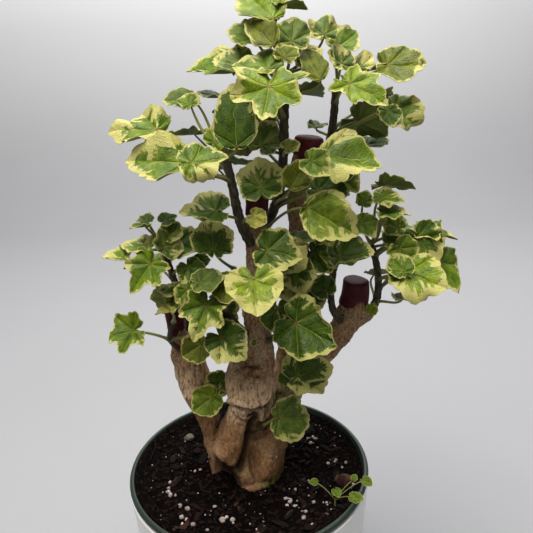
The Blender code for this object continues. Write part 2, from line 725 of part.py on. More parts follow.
def make_pots():
    wall_slope = (OUTER_TOP_RADIUS - OUTER_FOOT_RADIUS) / OUTER_HEIGHT
    foot_inner = OUTER_FOOT_RADIUS + wall_slope * OUTER_FLOOR - OUTER_WALL
    lip = 1.2
    outer = [(0, 0), (OUTER_FOOT_RADIUS - 2, 0), (OUTER_FOOT_RADIUS, 2),
             (OUTER_TOP_RADIUS, OUTER_HEIGHT - lip), (OUTER_TOP_RADIUS - lip, OUTER_HEIGHT),
             (OUTER_TOP_RADIUS - OUTER_WALL + 0.5, OUTER_HEIGHT),
             (OUTER_TOP_RADIUS - OUTER_WALL, OUTER_HEIGHT - 0.5),
             (foot_inner, OUTER_FLOOR), (0, OUTER_FLOOR)]
    add_object("outer_pot", turned(outer, POT_SIDES), "outer_pot")

    hem_bottom = OUTER_HEIGHT + GAP
    roll = (RIM_TOP - hem_bottom) / 2
    middle = hem_bottom + roll
    rim = [(RIM_RADIUS - roll + roll * math.cos(angle), middle + roll * math.sin(angle))
           for angle in (math.radians(a) for a in range(-90, 91, 45))]
    floor_top = POT_BOTTOM + POT_FLOOR
    pot = [(0, POT_BOTTOM), (POT_FOOT_RADIUS, POT_BOTTOM), (POT_TOP_RADIUS, hem_bottom - 0.6),
           (POT_TOP_RADIUS + 0.4, hem_bottom)] + rim
    pot += [(RIM_INNER_RADIUS, RIM_TOP - 0.5), (POT_TOP_RADIUS - POT_WALL, hem_bottom - 2),
            (POT_FOOT_RADIUS - POT_WALL, floor_top), (0, floor_top)]
    nursery = add_object("nursery_pot", turned(pot, POT_SIDES), "nursery_pot")
    drains = new_collection("drains")
    for step in range(DRAIN_HOLES):
        angle = 2 * math.pi * step / DRAIN_HOLES
        centre = (DRAIN_RING_RADIUS * math.cos(angle), DRAIN_RING_RADIUS * math.sin(angle))
        hole = oval_prism(centre, DRAIN_HOLE_RADIUS, DRAIN_HOLE_RADIUS, POT_BOTTOM - 3,
                          floor_top + 3, 8)
        add_object("drain", hole, "nursery_pot", drains)
    combine(nursery, drains, "DIFFERENCE")


def soil_radius(height):
    """The nursery pot's inner wall at a height, less the gap."""
    floor_top = POT_BOTTOM + POT_FLOOR
    wall_top = OUTER_HEIGHT + GAP - 2
    share = (height - floor_top) / (wall_top - floor_top)
    inner = POT_FOOT_RADIUS + (POT_TOP_RADIUS - POT_FOOT_RADIUS) * share - POT_WALL
    return (inner - GAP) * math.cos(math.pi / POT_SIDES)


def make_soil():
    rng = random.Random(5)
    bottom = POT_BOTTOM + POT_FLOOR + GAP
    edge = soil_radius(SOIL_TOP)
    profile = [(0, bottom), (soil_radius(bottom), bottom), (edge, SOIL_TOP - 1)]
    profile += [(edge * share, SOIL_TOP) for share in SOIL_RINGS] + [(0, SOIL_TOP)]
    points, faces = turned(profile, POT_SIDES)
    uneven = [(x, y, z + (rng.uniform(-1, 1) * SOIL_ROUGHNESS if z == SOIL_TOP else 0)
               + (x * SOIL_SLOPE if z > bottom else 0)) for x, y, z in points]
    soil = add_object("soil", (uneven, faces), "soil")

    scatter = new_collection("scatter")
    free = max(FOOT_HALF_WIDTH, FOOT_HALF_DEPTH) + 8
    for step in range(PERLITE_COUNT + CHIP_COUNT):
        angle = rng.uniform(0, 2 * math.pi)
        distance = math.sqrt(rng.uniform(free ** 2, (edge - 6) ** 2))
        centre = (FOOT_CENTRE[0] * 0.4 + distance * math.cos(angle),
                  FOOT_CENTRE[1] * 0.4 + distance * math.sin(angle), SOIL_TOP)
        if math.dist(centre[:2], SEEDLING_FOOT) < 6:
            continue
        if step < PERLITE_COUNT:
            shape = lumps(centre, rng.uniform(*PERLITE_RADII), rng)
        else:
            shape = chip(centre, rng.uniform(8, 13), rng.uniform(0, math.pi), rng)
        add_object("lump", shape, "soil", scatter)
    combine(soil, scatter, "UNION")

    holes = new_collection("holes")
    foot = oval_prism(FOOT_CENTRE, FOOT_HALF_WIDTH + 2 * GAP, FOOT_HALF_DEPTH + 2 * GAP,
                      FOOT_BOTTOM - GAP, SOIL_TOP + 12, 24)
    add_object("foot hole", foot, "soil", holes)
    stem = oval_prism(SEEDLING_FOOT, SEEDLING_RADIUS + 2 * GAP, SEEDLING_RADIUS + 2 * GAP,
                      SOIL_TOP - 5 - GAP, SOIL_TOP + 12, 8)
    add_object("seedling hole", stem, "soil", holes)
    combine(soil, holes, "DIFFERENCE")


def make_trunk():
    foot = oval_prism(FOOT_CENTRE, FOOT_HALF_WIDTH, FOOT_HALF_DEPTH, FOOT_BOTTOM, FOOT_TOP, 20)
    trunk = add_object("trunk", foot, "bark")
    wood = new_collection("wood")
    for name in LIMBS:
        centres, radii, rings = limb_rings(name)
        add_object(name, tube_from_rings(rings, split=True), "bark", wood)
    combine(trunk, wood, "UNION")
    below = new_collection("below")
    hidden = oval_prism(FOOT_CENTRE, 60, 60, FOOT_BOTTOM - 40, FOOT_BOTTOM, 4)
    add_object("below", hidden, "bark", below)
    skirt = oval_prism(FOOT_CENTRE, 60, 60, FOOT_BOTTOM - 20, SOIL_TOP + 2.2, 24)
    ring = add_object("skirt", skirt, "bark", below)
    core = new_collection("core")
    inner = oval_prism(FOOT_CENTRE, FOOT_HALF_WIDTH, FOOT_HALF_DEPTH, FOOT_BOTTOM - 50,
                       SOIL_TOP + 20, 20)
    add_object("core", inner, "bark", core)
    combine(ring, core, "DIFFERENCE")
    combine(trunk, below, "DIFFERENCE")
    sockets = new_collection("sockets")
    for shoot in SHOOTS.values():
        add_object("socket", socket(shoot), "bark", sockets)
    combine(trunk, sockets, "DIFFERENCE")


def make_caps():
    for name, (limb, reach) in CAPS.items():
        outer = limb_rings(limb, GAP + CAP_THICKNESS)[2]
        centres, radii, inner = limb_rings(limb, GAP)
        first = max(i for i in range(len(centres)) if (centres[-1] - centres[i]).length >= reach)
        ahead = (centres[-1] - centres[-2]).normalized()
        shoulder = [centres[-1] + (point - centres[-1]) * 0.82 + ahead * (GAP + CAP_THICKNESS)
                    for point in outer[-1]]
        far, near = ((centres[-1] - centres[i]).length for i in (first, first + 1))
        share = (far - reach) / (far - near)
        brims = [[a.lerp(b, share) for a, b in zip(rings[first], rings[first + 1])]
                 for rings in (outer, inner)]
        rings = [brims[0]] + outer[first + 1:] + [shoulder]
        rings += [[point + ahead * GAP for point in inner[-1]]] + inner[first + 1:][::-1]
        rings += [brims[1]]
        add_object(name, cup_from_rings(rings, len(outer) - first), "wax")


def cup_from_rings(rings, outside):
    """A cup: rings up the outside, over the closed top, and down the inside to the open rim. The
    inside is split into the same triangles as the limb in it."""
    sides = len(rings[0])
    points = [point for ring in rings for point in ring]
    faces = []
    for row in range(len(rings)):
        if row == outside:
            continue
        after = (row + 1) % len(rings)
        for step in range(sides):
            following = (step + 1) % sides
            faces.append((row * sides + step, row * sides + following, after * sides + step))
            faces.append((row * sides + following, after * sides + following,
                          after * sides + step))
    top, under = outside * sides, (outside + 1) * sides
    faces.append(tuple(top + step for step in range(sides)))
    faces.append(tuple(reversed([under + step for step in range(sides)])))
    return points, faces


def make_shoot(name, shoot):
    centres = stem_centres(shoot)
    stem = add_object(name, tube_from_rings(
        rings_along(centres, stem_radii(shoot, centres), STEM_SIDES)), "leaf")
    spray = new_collection(name + " spray")
    rng = random.Random(len(name))
    for x, z, depth, tip_angle, face_up, face_right, width, form in shoot["leaves"]:
        joint = place(x, z, depth)
        axes = leaf_axes(tip_angle, face_up, face_right)
        phase = rng.uniform(0, 2 * math.pi)
        path = petiole_path(centres, joint, axes, PETIOLE_PARTS)
        add_object("leaf", leaf(joint, axes, width, FORMS[form], phase, path), "leaf", spray)
    combine(stem, spray, "UNION")


def make_seedling():
    foot = Vector((*SEEDLING_FOOT, SOIL_TOP - 5))
    neck = Vector((*SEEDLING_FOOT, SOIL_TOP + 3))
    path = [foot, foot.lerp(neck, 0.5), neck]
    stem = add_object("seedling", tube_from_rings(
        rings_along(path, [SEEDLING_RADIUS] * 3, 5)), "leaf")
    spray = new_collection("seedling spray")
    flat = (0.0, 55.0, 0.0)
    for x, y, z, tip_angle, width in SEEDLING_LEAFLETS:
        joint = Vector((foot.x + x, foot.y + y, SOIL_TOP + z))
        axes = leaf_axes(tip_angle, *flat[1:])
        bend = neck.lerp(joint, 0.5) + Vector((0, 0, 2.5))
        path = [neck - Vector((0, 0, 1.5)), bend, joint]
        add_object("leaflet", leaf(joint, axes, width, FORMS["round"], 0.0, path), "leaf", spray)
    combine(stem, spray, "UNION")


def main():
    for item in list(bpy.data.objects):
        bpy.data.objects.remove(item)
    make_pots()
    make_soil()
    make_trunk()
    make_caps()
    for name, shoot in SHOOTS.items():
        make_shoot(name, shoot)
    make_seedling()
    for item in bpy.data.objects:
        item.data.shade_smooth()
        item.data.set_sharp_from_angle(angle=SHARP_ANGLE)


main()
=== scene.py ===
import math
import random

import bpy
import numpy as np
from mathutils import Matrix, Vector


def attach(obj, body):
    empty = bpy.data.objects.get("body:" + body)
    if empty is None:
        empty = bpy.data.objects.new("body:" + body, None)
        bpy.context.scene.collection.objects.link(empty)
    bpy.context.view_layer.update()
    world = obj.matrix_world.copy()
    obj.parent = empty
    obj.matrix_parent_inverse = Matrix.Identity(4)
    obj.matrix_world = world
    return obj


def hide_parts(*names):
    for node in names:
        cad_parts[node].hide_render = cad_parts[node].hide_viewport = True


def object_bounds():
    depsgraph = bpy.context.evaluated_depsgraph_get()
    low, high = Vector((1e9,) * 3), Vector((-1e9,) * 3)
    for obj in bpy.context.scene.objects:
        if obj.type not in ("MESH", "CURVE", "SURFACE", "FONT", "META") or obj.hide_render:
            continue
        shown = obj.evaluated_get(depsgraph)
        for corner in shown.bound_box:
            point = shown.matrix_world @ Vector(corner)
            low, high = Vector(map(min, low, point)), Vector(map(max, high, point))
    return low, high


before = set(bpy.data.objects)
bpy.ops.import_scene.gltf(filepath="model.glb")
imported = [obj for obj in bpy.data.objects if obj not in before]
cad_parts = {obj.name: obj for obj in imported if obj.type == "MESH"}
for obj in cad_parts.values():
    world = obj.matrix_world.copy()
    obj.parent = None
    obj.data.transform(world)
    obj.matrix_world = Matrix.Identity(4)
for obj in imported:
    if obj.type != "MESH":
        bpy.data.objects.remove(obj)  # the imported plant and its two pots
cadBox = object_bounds()
mm = 0.001

# Where the front view is taken from, in millimetres and rounded: places below are given as
# (x, z, depth), where x and z are read on the plane y = 0 along the line of sight and depth is the
# real y
sight = {"eye": np.array([17.0, -341.0, 409.0]), "pitch": math.radians(19.5)}


# Shapes

def place(rows):
    # eye + ((x, 0, z) - eye) * (depth - eyeY) / -eyeY
    rows = np.asarray(rows, float)
    eye = sight["eye"]
    share = (rows[..., 2] - eye[1]) / -eye[1]
    seen = np.stack([rows[..., 0], np.zeros_like(share), rows[..., 1]], -1)
    return eye + (seen - eye) * share[..., None]


def smoothRows(rows, steps):
    # Catmull-Rom through the rows, steps points a stretch
    rows = np.asarray(rows, float)
    padded = np.vstack([rows[:1], rows, rows[-1:]])
    a, b, c, d = (padded[i:len(rows) - 1 + i][:, None] for i in range(4))
    t = (np.arange(steps) / steps)[None, :, None]
    curve = 0.5 * (2 * b + (c - a) * t + (2 * a - 5 * b + 4 * c - d) * t * t
                   + (3 * b - a - 3 * c + d) * t ** 3)
    return np.vstack([curve.reshape(-1, rows.shape[1]), rows[-1:]])


def lengthsAlong(path):
    # how far each point lies along the path, 0 at the first
    return np.concatenate([[0], np.cumsum(np.linalg.norm(np.diff(path, axis=0), axis=1))])


def evenSteps(path, step):
    # the same path with points at even distances
    lengths = lengthsAlong(path)
    wanted = np.linspace(0, lengths[-1], max(int(lengths[-1] / step), 3) + 1)
    return np.stack([np.interp(wanted, lengths, path[:, i]) for i in range(3)], -1), wanted


def unit(vectors):
    # vector / its own length
    return vectors / np.maximum(np.linalg.norm(vectors, axis=-1, keepdims=True), 1e-9)


def roundAngles(count):
    # 2 pi * i / count: even angles round a circle, from 0
    return 2 * np.pi * np.arange(count) / count


def frames(centres):
    # ahead, aside and across at each centre, turned as little as can be from one to the next
    ahead = unit(np.gradient(centres, axis=0))
    start = np.cross(ahead[0], (0.0, 1.0, 0.0) if abs(ahead[0][1]) < 0.9 else (1.0, 0.0, 0.0))
    aside = [unit(start)]
    for direction in ahead[1:]:
        aside.append(unit(aside[-1] - direction * (aside[-1] @ direction)))
    aside = np.array(aside)
    return ahead, aside, np.cross(ahead, aside)


def tube(centres, radii, sides):
    # centre + (aside cos + across sin) * radius(row, angle); radii is one number a row, or a grid
    ahead, aside, across = frames(centres)
    angles = roundAngles(sides)
    reach = np.broadcast_to(np.asarray(radii, float).reshape(len(centres), -1),
                            (len(centres), sides))
    spread = (aside[:, None] * np.cos(angles)[None, :, None]
              + across[:, None] * np.sin(angles)[None, :, None])
    return centres[:, None] + spread * reach[..., None]


def gridFaces(rows, columns, wrap=True):
    # the four corners of each cell of a grid whose points are numbered row by row
    row, column = np.meshgrid(np.arange(rows - 1), np.arange(columns if wrap else columns - 1),
                              indexing="ij")
    after = (column + 1) % columns
    return np.stack([row * columns + column, row * columns + after,
                     (row + 1) * columns + after, (row + 1) * columns + column],
                    -1).reshape(-1, 4)


def closedTube(grid):
    # a tube's grid with a pole at each end: points, and faces of four and of three corners
    rows, sides = grid.shape[:2]
    points = np.vstack([grid.reshape(-1, 3), grid[0].mean(0), grid[-1].mean(0)])
    step = np.arange(sides)
    after = (step + 1) % sides
    first, last = rows * sides, rows * sides + 1
    ends = np.vstack([np.stack([np.full(sides, first), after, step], -1),
                      np.stack([np.full(sides, last), (rows - 1) * sides + step,
                                (rows - 1) * sides + after], -1)])
    return points, [gridFaces(rows, sides), ends]


def latticeNoise(points, size, seed):
    # random values from -1 to 1 at the corners of cubes of that size, blended by a smooth step
    scaled = points / size + seed * 7.31
    cell = np.floor(scaled).astype(np.int64)
    part = scaled - cell
    part = part * part * (3 - 2 * part)
    total = np.zeros(len(points))
    for corner in np.ndindex(2, 2, 2):
        weight = np.prod(np.where(np.array(corner), part, 1 - part), axis=1)
        key = (cell + np.array(corner)) @ np.array([374761393, 668265263, 1440670441])
        key = (key ^ (key >> 13)) * 1274126177
        total += weight * (((key ^ (key >> 16)) & 0xFFFF) / 32767.5 - 1)
    return total


def layeredNoise(points, size, seed, layers=3):
    # lattice noise, and finer and weaker noise added to it
    return sum(latticeNoise(points, size / 2 ** i, seed + i) / 1.8 ** i for i in range(layers))


class Heap:  # gathers grids into the mesh of one piece
    def __init__(self):
        self.points, self.faces, self.slots, self.marks, self.count = [], [], [], [], 0

    def add(self, points, faces, slot=0, marks=None):
        # marks: 9 numbers a point, for the attributes place, look and tint
        self.points.append(np.asarray(points, float))
        self.marks.append(np.zeros((len(points), 9)) if marks is None else marks)
        for block in faces:
            self.faces += (np.asarray(block) + self.count).tolist()
            self.slots += [slot] * len(block)
        self.count += len(points)

    def mesh(self, name):
        mesh = bpy.data.meshes.new(name)
        mesh.from_pydata(np.vstack(self.points) * mm, [], self.faces)
        return mesh

    def piece(self, name, materials, slot, replaced=(), sharp=40):
        mesh = self.mesh(name)
        for material in materials:
            mesh.materials.append(material)
        mesh.polygons.foreach_set("material_index", self.slots)
        marks = np.vstack(self.marks)
        if marks.any():
            for index, title in enumerate(("place", "look", "tint")):
                held = mesh.attributes.new(title, "FLOAT_VECTOR", "POINT")
                held.data.foreach_set("vector", marks[:, 3 * index:3 * index + 3].ravel())
        mesh.shade_smooth()
        mesh.set_sharp_from_angle(angle=math.radians(sharp))
        mesh.validate()
        return finishPiece(name, mesh, replaced)


def linked(name, data):
    # a new object in the scene, at the origin
    made = bpy.data.objects.new(name, data)
    bpy.context.scene.collection.objects.link(made)
    return made


def withModifiers(held):
    # the object's mesh as its modifiers leave it
    return bpy.data.meshes.new_from_object(
        held.evaluated_get(bpy.context.evaluated_depsgraph_get()))


def finishPiece(name, mesh, replaced=()):
    piece = linked(name, mesh)
    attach(piece, "root")
    if replaced:
        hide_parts(*replaced)
    return piece


# Materials

class Wire:  # a shader socket: + - * / on it add Math nodes
    def __init__(self, finish, socket):
        self.finish, self.socket = finish, socket

    def math(self, operation, *others):
        return self.finish.node("ShaderNodeMath", {"operation": operation},
                                dict(enumerate((self,) + others)))

    def __add__(self, other):
        return self.math("ADD", other)

    def __mul__(self, other):
        return self.math("MULTIPLY", other)

    def __sub__(self, other):
        return self.math("SUBTRACT", other)

    def __truediv__(self, other):
        return self.math("DIVIDE", other)

    def __rsub__(self, other):
        return (self * -1.0) + other

    def __rtruediv__(self, other):
        return self.math("POWER", -1.0) * other

    def __abs__(self):
        return self.math("ABSOLUTE")

    __radd__ = __add__
    __rmul__ = __mul__


class Finish:  # one material and its node tree
    def __init__(self, name, **fixed):
        self.material = bpy.data.materials.new(name)
        self.material.use_nodes = True
        self.tree = self.material.node_tree
        self.shader = self.tree.nodes["Principled BSDF"]
        for socket, value in fixed.items():
            self.shader.inputs[socket.replace("_", " ")].default_value = value

    def plug(self, socket, value):
        if isinstance(value, Wire):
            self.tree.links.new(value.socket, socket)
        else:
            socket.default_value = value

    def node(self, kind, settings, sockets, output=0):
        # a node of that type: its settings first, then the values or links of its sockets
        made = self.tree.nodes.new(kind)
        for key, value in settings.items():
            if key == "stops":
                self.setStops(made.color_ramp.elements, value)
            else:
                setattr(made, key, value)
        for key, value in sockets.items():
            self.plug(made.inputs[key], value)
        return Wire(self, made.outputs[output])

    def setStops(self, elements, stops):
        while len(elements) < len(stops):
            elements.new(0.5)
        for element, (position, colour) in zip(elements, stops):
            element.position = position
            element.color = (*colour, 1)

    def attribute(self, name):
        return self.node("ShaderNodeAttribute", {"attribute_name": name}, {}, 1)

    def parts(self, vector):
        split = self.node("ShaderNodeSeparateXYZ", {}, {0: vector}).socket.node
        return [Wire(self, socket) for socket in split.outputs]

    def vector(self, x, y, z):
        return self.node("ShaderNodeCombineXYZ", {}, {0: x, 1: y, 2: z})

    def objectPlace(self, scale=(1, 1, 1)):
        # Object coordinates in millimetres, times scale
        place = self.node("ShaderNodeTexCoord", {}, {}, 3)
        return self.node("ShaderNodeVectorMath", {"operation": "MULTIPLY"},
                         {0: place, 1: tuple(value * 1000 for value in scale)})

    def noise(self, place, scale, detail=3.0, roughness=0.6, distortion=0.0):
        return self.node("ShaderNodeTexNoise", {"noise_dimensions": "3D"},
                         {"Vector": place, "Scale": scale, "Detail": detail,
                          "Roughness": roughness, "Distortion": distortion})

    def cells(self, place, scale, output=0, feature="F1"):
        return self.node("ShaderNodeTexVoronoi", {"feature": feature},
                         {"Vector": place, "Scale": scale}, output)

    def ramp(self, value, *stops):
        return self.node("ShaderNodeValToRGB", {"stops": stops}, {0: value})

    def step(self, value, low, high):
        # 0 below low, 1 above high, and smooth between
        return self.node("ShaderNodeMapRange", {"interpolation_type": "SMOOTHSTEP"},
                         {0: value, 1: low, 2: high, 3: 0.0, 4: 1.0})

    def mix(self, share, under, over, blend="MIX"):
        sockets = {0: share}
        for index, colour in ((6, under), (7, over)):
            sockets[index] = colour if isinstance(colour, Wire) else (*colour, 1)
        return self.node("ShaderNodeMix", {"data_type": "RGBA", "blend_type": blend,
                                           "clamp_factor": True}, sockets, 2)

    def bump(self, height, strength, distance):
        return self.node("ShaderNodeBump", {}, {"Height": height, "Strength": strength,
                                                "Distance": distance * mm})

    def done(self, colour, roughness=None, normal=None):
        for name, value in (("Base Color", colour), ("Roughness", roughness), ("Normal", normal)):
            if value is not None:
                self.plug(self.shader.inputs[name], value)
        return self.material


bladeLook = {
    "greens": {"dark": (0.032, 0.074, 0.002), "mid": (0.078, 0.138, 0.003),
               "bright": (0.112, 0.172, 0.003), "olive": (0.096, 0.118, 0.003),
               "grey": (0.070, 0.112, 0.015), "pale": (0.300, 0.290, 0.060)},
    "cream": (0.47, 0.42, 0.14), "vein": (0.30, 0.34, 0.06), "joint": (0.14, 0.06, 0.015),
    "milky": (0.185, 0.22, 0.032), "underside": (0.14, 0.175, 0.045),
    "veinWidth": 0.011, "sideVeinStep": 0.085, "veinAngle": math.radians(56),
}


def bladeMaterial():
    # place is (ahead, across, seed) in leaf widths; look is (share of the way to the margin,
    # depth of the cream margin, underside); tint is the leaf's own green
    look = bladeLook
    finish = Finish("leafBlade", Specular_IOR_Level=0.23)
    ahead, across, seed = finish.parts(finish.attribute("place"))
    share, creamDepth, under = finish.parts(finish.attribute("look"))
    tint = finish.attribute("tint")
    reach = (ahead * ahead + across * across).math("SQRT")
    bend = finish.noise(finish.vector(ahead, across, seed * 2.3), 2.6, 1.0, 0.5) - 0.5
    turn = across.math("ARCTAN2", ahead) + bend * reach * 1.1
    sector = abs(turn) / look["veinAngle"] + 0.5
    off = abs(sector - sector.math("FLOOR") - 0.5) * look["veinAngle"]
    aside, along = reach * off.math("SINE"), reach * off.math("COSINE")
    mainVein = 1 - finish.step(aside / (1.35 - share), look["veinWidth"] * 0.35,
                               look["veinWidth"] * 1.5)
    branch = (along - aside * 0.9) / look["sideVeinStep"]
    near = abs(branch - branch.math("FLOOR") - 0.5)
    sideVein = finish.step(near, 0.42, 0.5) * finish.step(share, 0.1, 0.35)
    block = finish.vector(branch.math("FLOOR"), sector.math("FLOOR"),
                          seed + across.math("SIGN") * 0.37)
    blockDraw = finish.node("ShaderNodeTexWhiteNoise", {"noise_dimensions": "3D"}, {0: block})
    streaks = finish.noise(finish.vector(turn * 4.2, reach * 2.4, seed), 1.6, 4.0, 0.7)
    patches = finish.noise(finish.vector(ahead, across, seed * 1.7), 5.0, 3.0, 0.6)
    rare = blockDraw * blockDraw * blockDraw
    depth = creamDepth * (rare * 1.6 + streaks * 1.9 - 0.60)
    fromEdge = 1 - share
    cream = finish.step(depth - fromEdge + 0.028, -0.010, 0.018)
    milky = finish.step(depth * 1.6 + 0.03 - fromEdge, 0.0, 0.08) * finish.step(patches, 0.45, 0.60)
    shade = finish.mix(finish.step(patches, 0.36, 0.66), (0.60, 0.68, 0.50), (1.55, 1.36, 1.1))
    net = finish.cells(finish.vector(ahead, across, seed), 21.0, 0, "DISTANCE_TO_EDGE")
    netVein = 1 - finish.step(net, 0.0, 0.10)
    green = finish.mix(1.0, tint, shade, "MULTIPLY")
    green = finish.mix(milky * 0.6, green, look["milky"])
    green = finish.mix(mainVein * 0.62 + sideVein * 0.26 + netVein * 0.10, green, look["vein"])
    pale = finish.mix(patches, look["cream"], (0.39, 0.38, 0.10))
    pale = finish.mix(mainVein * 0.4 + sideVein * 0.12, pale, (0.42, 0.44, 0.13))
    colour = finish.mix(cream, green, pale)
    backs = finish.mix(0.55, colour, look["underside"])
    colour = finish.mix(under, colour, backs)
    colour = finish.mix(1 - finish.step(reach, 0.012, 0.05), colour, look["joint"])
    fine = finish.noise(finish.objectPlace(), 1.6, 3.0, 0.6)
    roughness = 0.31 + fine * 0.18 + under * 0.20 + cream * 0.10
    height = fine * 0.25 - mainVein * 1.0 - sideVein * 0.6 + near * 0.5
    height = height + finish.step(net, 0.0, 0.35) * 0.5
    return finish.done(colour, roughness, finish.bump(height, 0.65, 0.40))


def stalkMaterial():
    # place is (share of the way from the stem to the blade, share of the way round, seed)
    finish = Finish("leafStalk")
    along, around, seed = finish.parts(finish.attribute("place"))
    tint = finish.attribute("tint")
    streaks = finish.noise(finish.vector(along * 2.0, around * 9.0, seed), 2.0, 3.0, 0.6)
    spots = finish.noise(finish.objectPlace(), 1.2, 3.0, 0.7)
    colour = finish.mix(streaks, (0.13, 0.135, 0.022), (0.31, 0.31, 0.08))
    colour = finish.mix(0.25, colour, tint)
    dark = finish.ramp(along + streaks * 0.3 - 0.15, (0.0, (0.60,) * 3), (0.40, (0.0,) * 3))
    colour = finish.mix(dark, colour, (0.040, 0.028, 0.012))
    colour = finish.mix(finish.step(along, 0.90, 0.985), colour, (0.20, 0.09, 0.03))
    colour = finish.mix(finish.step(spots, 0.6, 0.75) * 0.5, colour, (0.05, 0.03, 0.012))
    return finish.done(colour, 0.4 + spots * 0.25, finish.bump(streaks + spots, 0.4, 0.25))


def stemMaterial():
    # place is (millimetres along, share of the way round, seed)
    finish = Finish("shootStem")
    along, around, seed = finish.parts(finish.attribute("place"))
    fibres = finish.noise(finish.vector(along * 0.12, around * 16.0, seed), 1.5, 4.0, 0.65)
    spots = finish.noise(finish.objectPlace(), 0.9, 4.0, 0.7)
    colour = finish.mix(finish.step(fibres, 0.44, 0.68), (0.020, 0.014, 0.008),
                        (0.110, 0.088, 0.030))
    colour = finish.mix(finish.step(spots, 0.58, 0.72) * 0.6, colour, (0.11, 0.085, 0.055))
    return finish.done(colour, 0.62 + spots * 0.2, finish.bump(fibres + spots, 0.8, 0.6))


# Leaves and shoots

# Lengths are shares of a leaf's width, but for thickness (at the joint and the rim) and softEdge, in
# millimetres; samples: least width, points round the margin and share of the form's teeth
blade = {"thickness": (0.46, 0.28), "rings": (0.07, 0.19, 0.33, 0.48, 0.63, 0.77, 0.88, 0.95, 1.0),
         "samples": ((23.0, 135, 1.0), (11.0, 90, 0.7), (0.0, 45, 0.5)), "reach": 1.02,
         "toothDepth": 0.085, "lobing": 0.07, "uneven": 0.018, "lobeStep": math.radians(56),
         "groove": 0.016, "grooveWidth": 0.022, "pillow": 0.040, "ruffle": 0.048, "saddle": 0.030,
         "softEdge": 4.0}
leafForms = {
    "round": dict(offset=0.20, point=0.01, notch=0.80, lobes=0.03, cup=0.22, fold=0.10, curl=0.10,
                  wave=0.035, waves=3, ragged=0.7, teeth=21),
    "heart": dict(offset=0.15, point=0.07, notch=0.80, lobes=0.05, cup=0.10, fold=0.20, curl=0.20,
                  wave=0.040, waves=3, ragged=0.7, teeth=19),
    "lobed": dict(uneven=2.5, offset=0.12, point=0.12, notch=0.75, lobes=0.24, cup=0.05, fold=0.16,
                  curl=0.20, wave=0.050, waves=4, ragged=1.0, teeth=23),
    "long": dict(offset=0.40, point=0.14, notch=0.60, lobes=0.06, cup=0.05, fold=0.35, curl=0.15,
                 wave=0.035, waves=3, ragged=0.9, teeth=25),
    "star": dict(uneven=4.0, offset=0.02, point=0.06, notch=0.60, lobes=0.26, cup=0.05, fold=0.16,
                 curl=0.15, wave=0.050, waves=4, ragged=0.9, teeth=23),
    "oval": dict(offset=0.42, point=0.42, notch=0.60, lobes=0.03, cup=0.05, fold=0.30, curl=0.12,
                 wave=0.030, waves=3, ragged=0.7, teeth=23),
    "smooth": dict(ragged=0.3, offset=0.16, point=0.035, notch=0.80, lobes=0.0, cup=0.10, fold=0.22,
                   curl=0.20, wave=0.030, waves=3, teeth=19),
    "ruffled": dict(offset=0.20, point=0.05, notch=0.80, lobes=0.10, cup=0.10, fold=0.15,
                    curl=0.30, wave=0.085, waves=5, ragged=1.0, teeth=19),
}


def marginReach(angle, form):
    # joint to margin: a circle that the joint sits in, a tip in front, a notch behind, and lobes
    away = np.abs(angle)
    circle = (form["offset"] * np.cos(angle)
              + np.sqrt(0.25 - (form["offset"] * np.sin(angle)) ** 2))
    tip = form["point"] * np.exp(-(angle / 0.45) ** 2)
    notch = 1 - form["notch"] * np.exp(-((np.pi - away) / 0.34) ** 2)
    lobes = 1 - form["lobes"] * (0.5 - 0.5 * np.cos(2 * np.pi * away / blade["lobeStep"]))
    return (circle + tip) * notch * lobes


def bladeHeight(ahead, across, form, phase):
    # cup * r^2 + fold * (sqrt(across^2 + .01) - .1) - curl * ahead^2 + wave * sin(waves * angle)
    reach = np.hypot(ahead, across)
    angle = np.arctan2(across, ahead)
    return (form["cup"] * reach ** 2 + form["fold"] * (np.sqrt(across ** 2 + 0.01) - 0.1)
            - form["curl"] * np.maximum(ahead, 0) ** 2
            + form["wave"] * np.sin(form["waves"] * angle + phase)
            * np.minimum(4 * reach ** 2, 1.5))


def leafAxes(tipAngle, faceUp, faceRight):
    # tip, across and face directions, from how the leaf looks in the front view
    pitch = sight["pitch"]
    right = np.array([1.0, 0.0, 0.0])
    toward = np.array([0.0, -math.cos(pitch), math.sin(pitch)])
    up = np.array([0.0, math.sin(pitch), math.cos(pitch)])
    tilt, turn, aim = (math.radians(value) for value in (faceUp, faceRight, tipAngle))
    face = toward * math.cos(tilt) + up * math.sin(tilt)
    face = unit(face * math.cos(turn) + right * math.sin(turn))
    tip = right * math.cos(aim) + up * math.sin(aim)
    tip = unit(tip - face * (tip @ face))
    return tip, np.cross(face, tip), face


def rollEdge(ahead, across, height, aim, start, radius, sign):
    # past start along aim the blade follows a circle of that radius, up (1) or down (-1)
    cosine, sine = math.cos(aim), math.sin(aim)
    along, beside = ahead * cosine + across * sine, across * cosine - ahead * sine
    turn = np.maximum(along - start, 0) / radius
    bent = np.where(turn > 0, start + radius * np.sin(turn) - sign * height * np.sin(turn), along)
    height = sign * radius * (1 - np.cos(turn)) + height * np.cos(turn)
    return bent * cosine - beside * sine, bent * sine + beside * cosine, height


def drawnWaves(angle, counts, rng):
    # the mean of sin(count * angle + a drawn turn)
    return sum(np.sin(k * angle + rng.uniform(0, 6.28)) for k in counts) / len(counts)


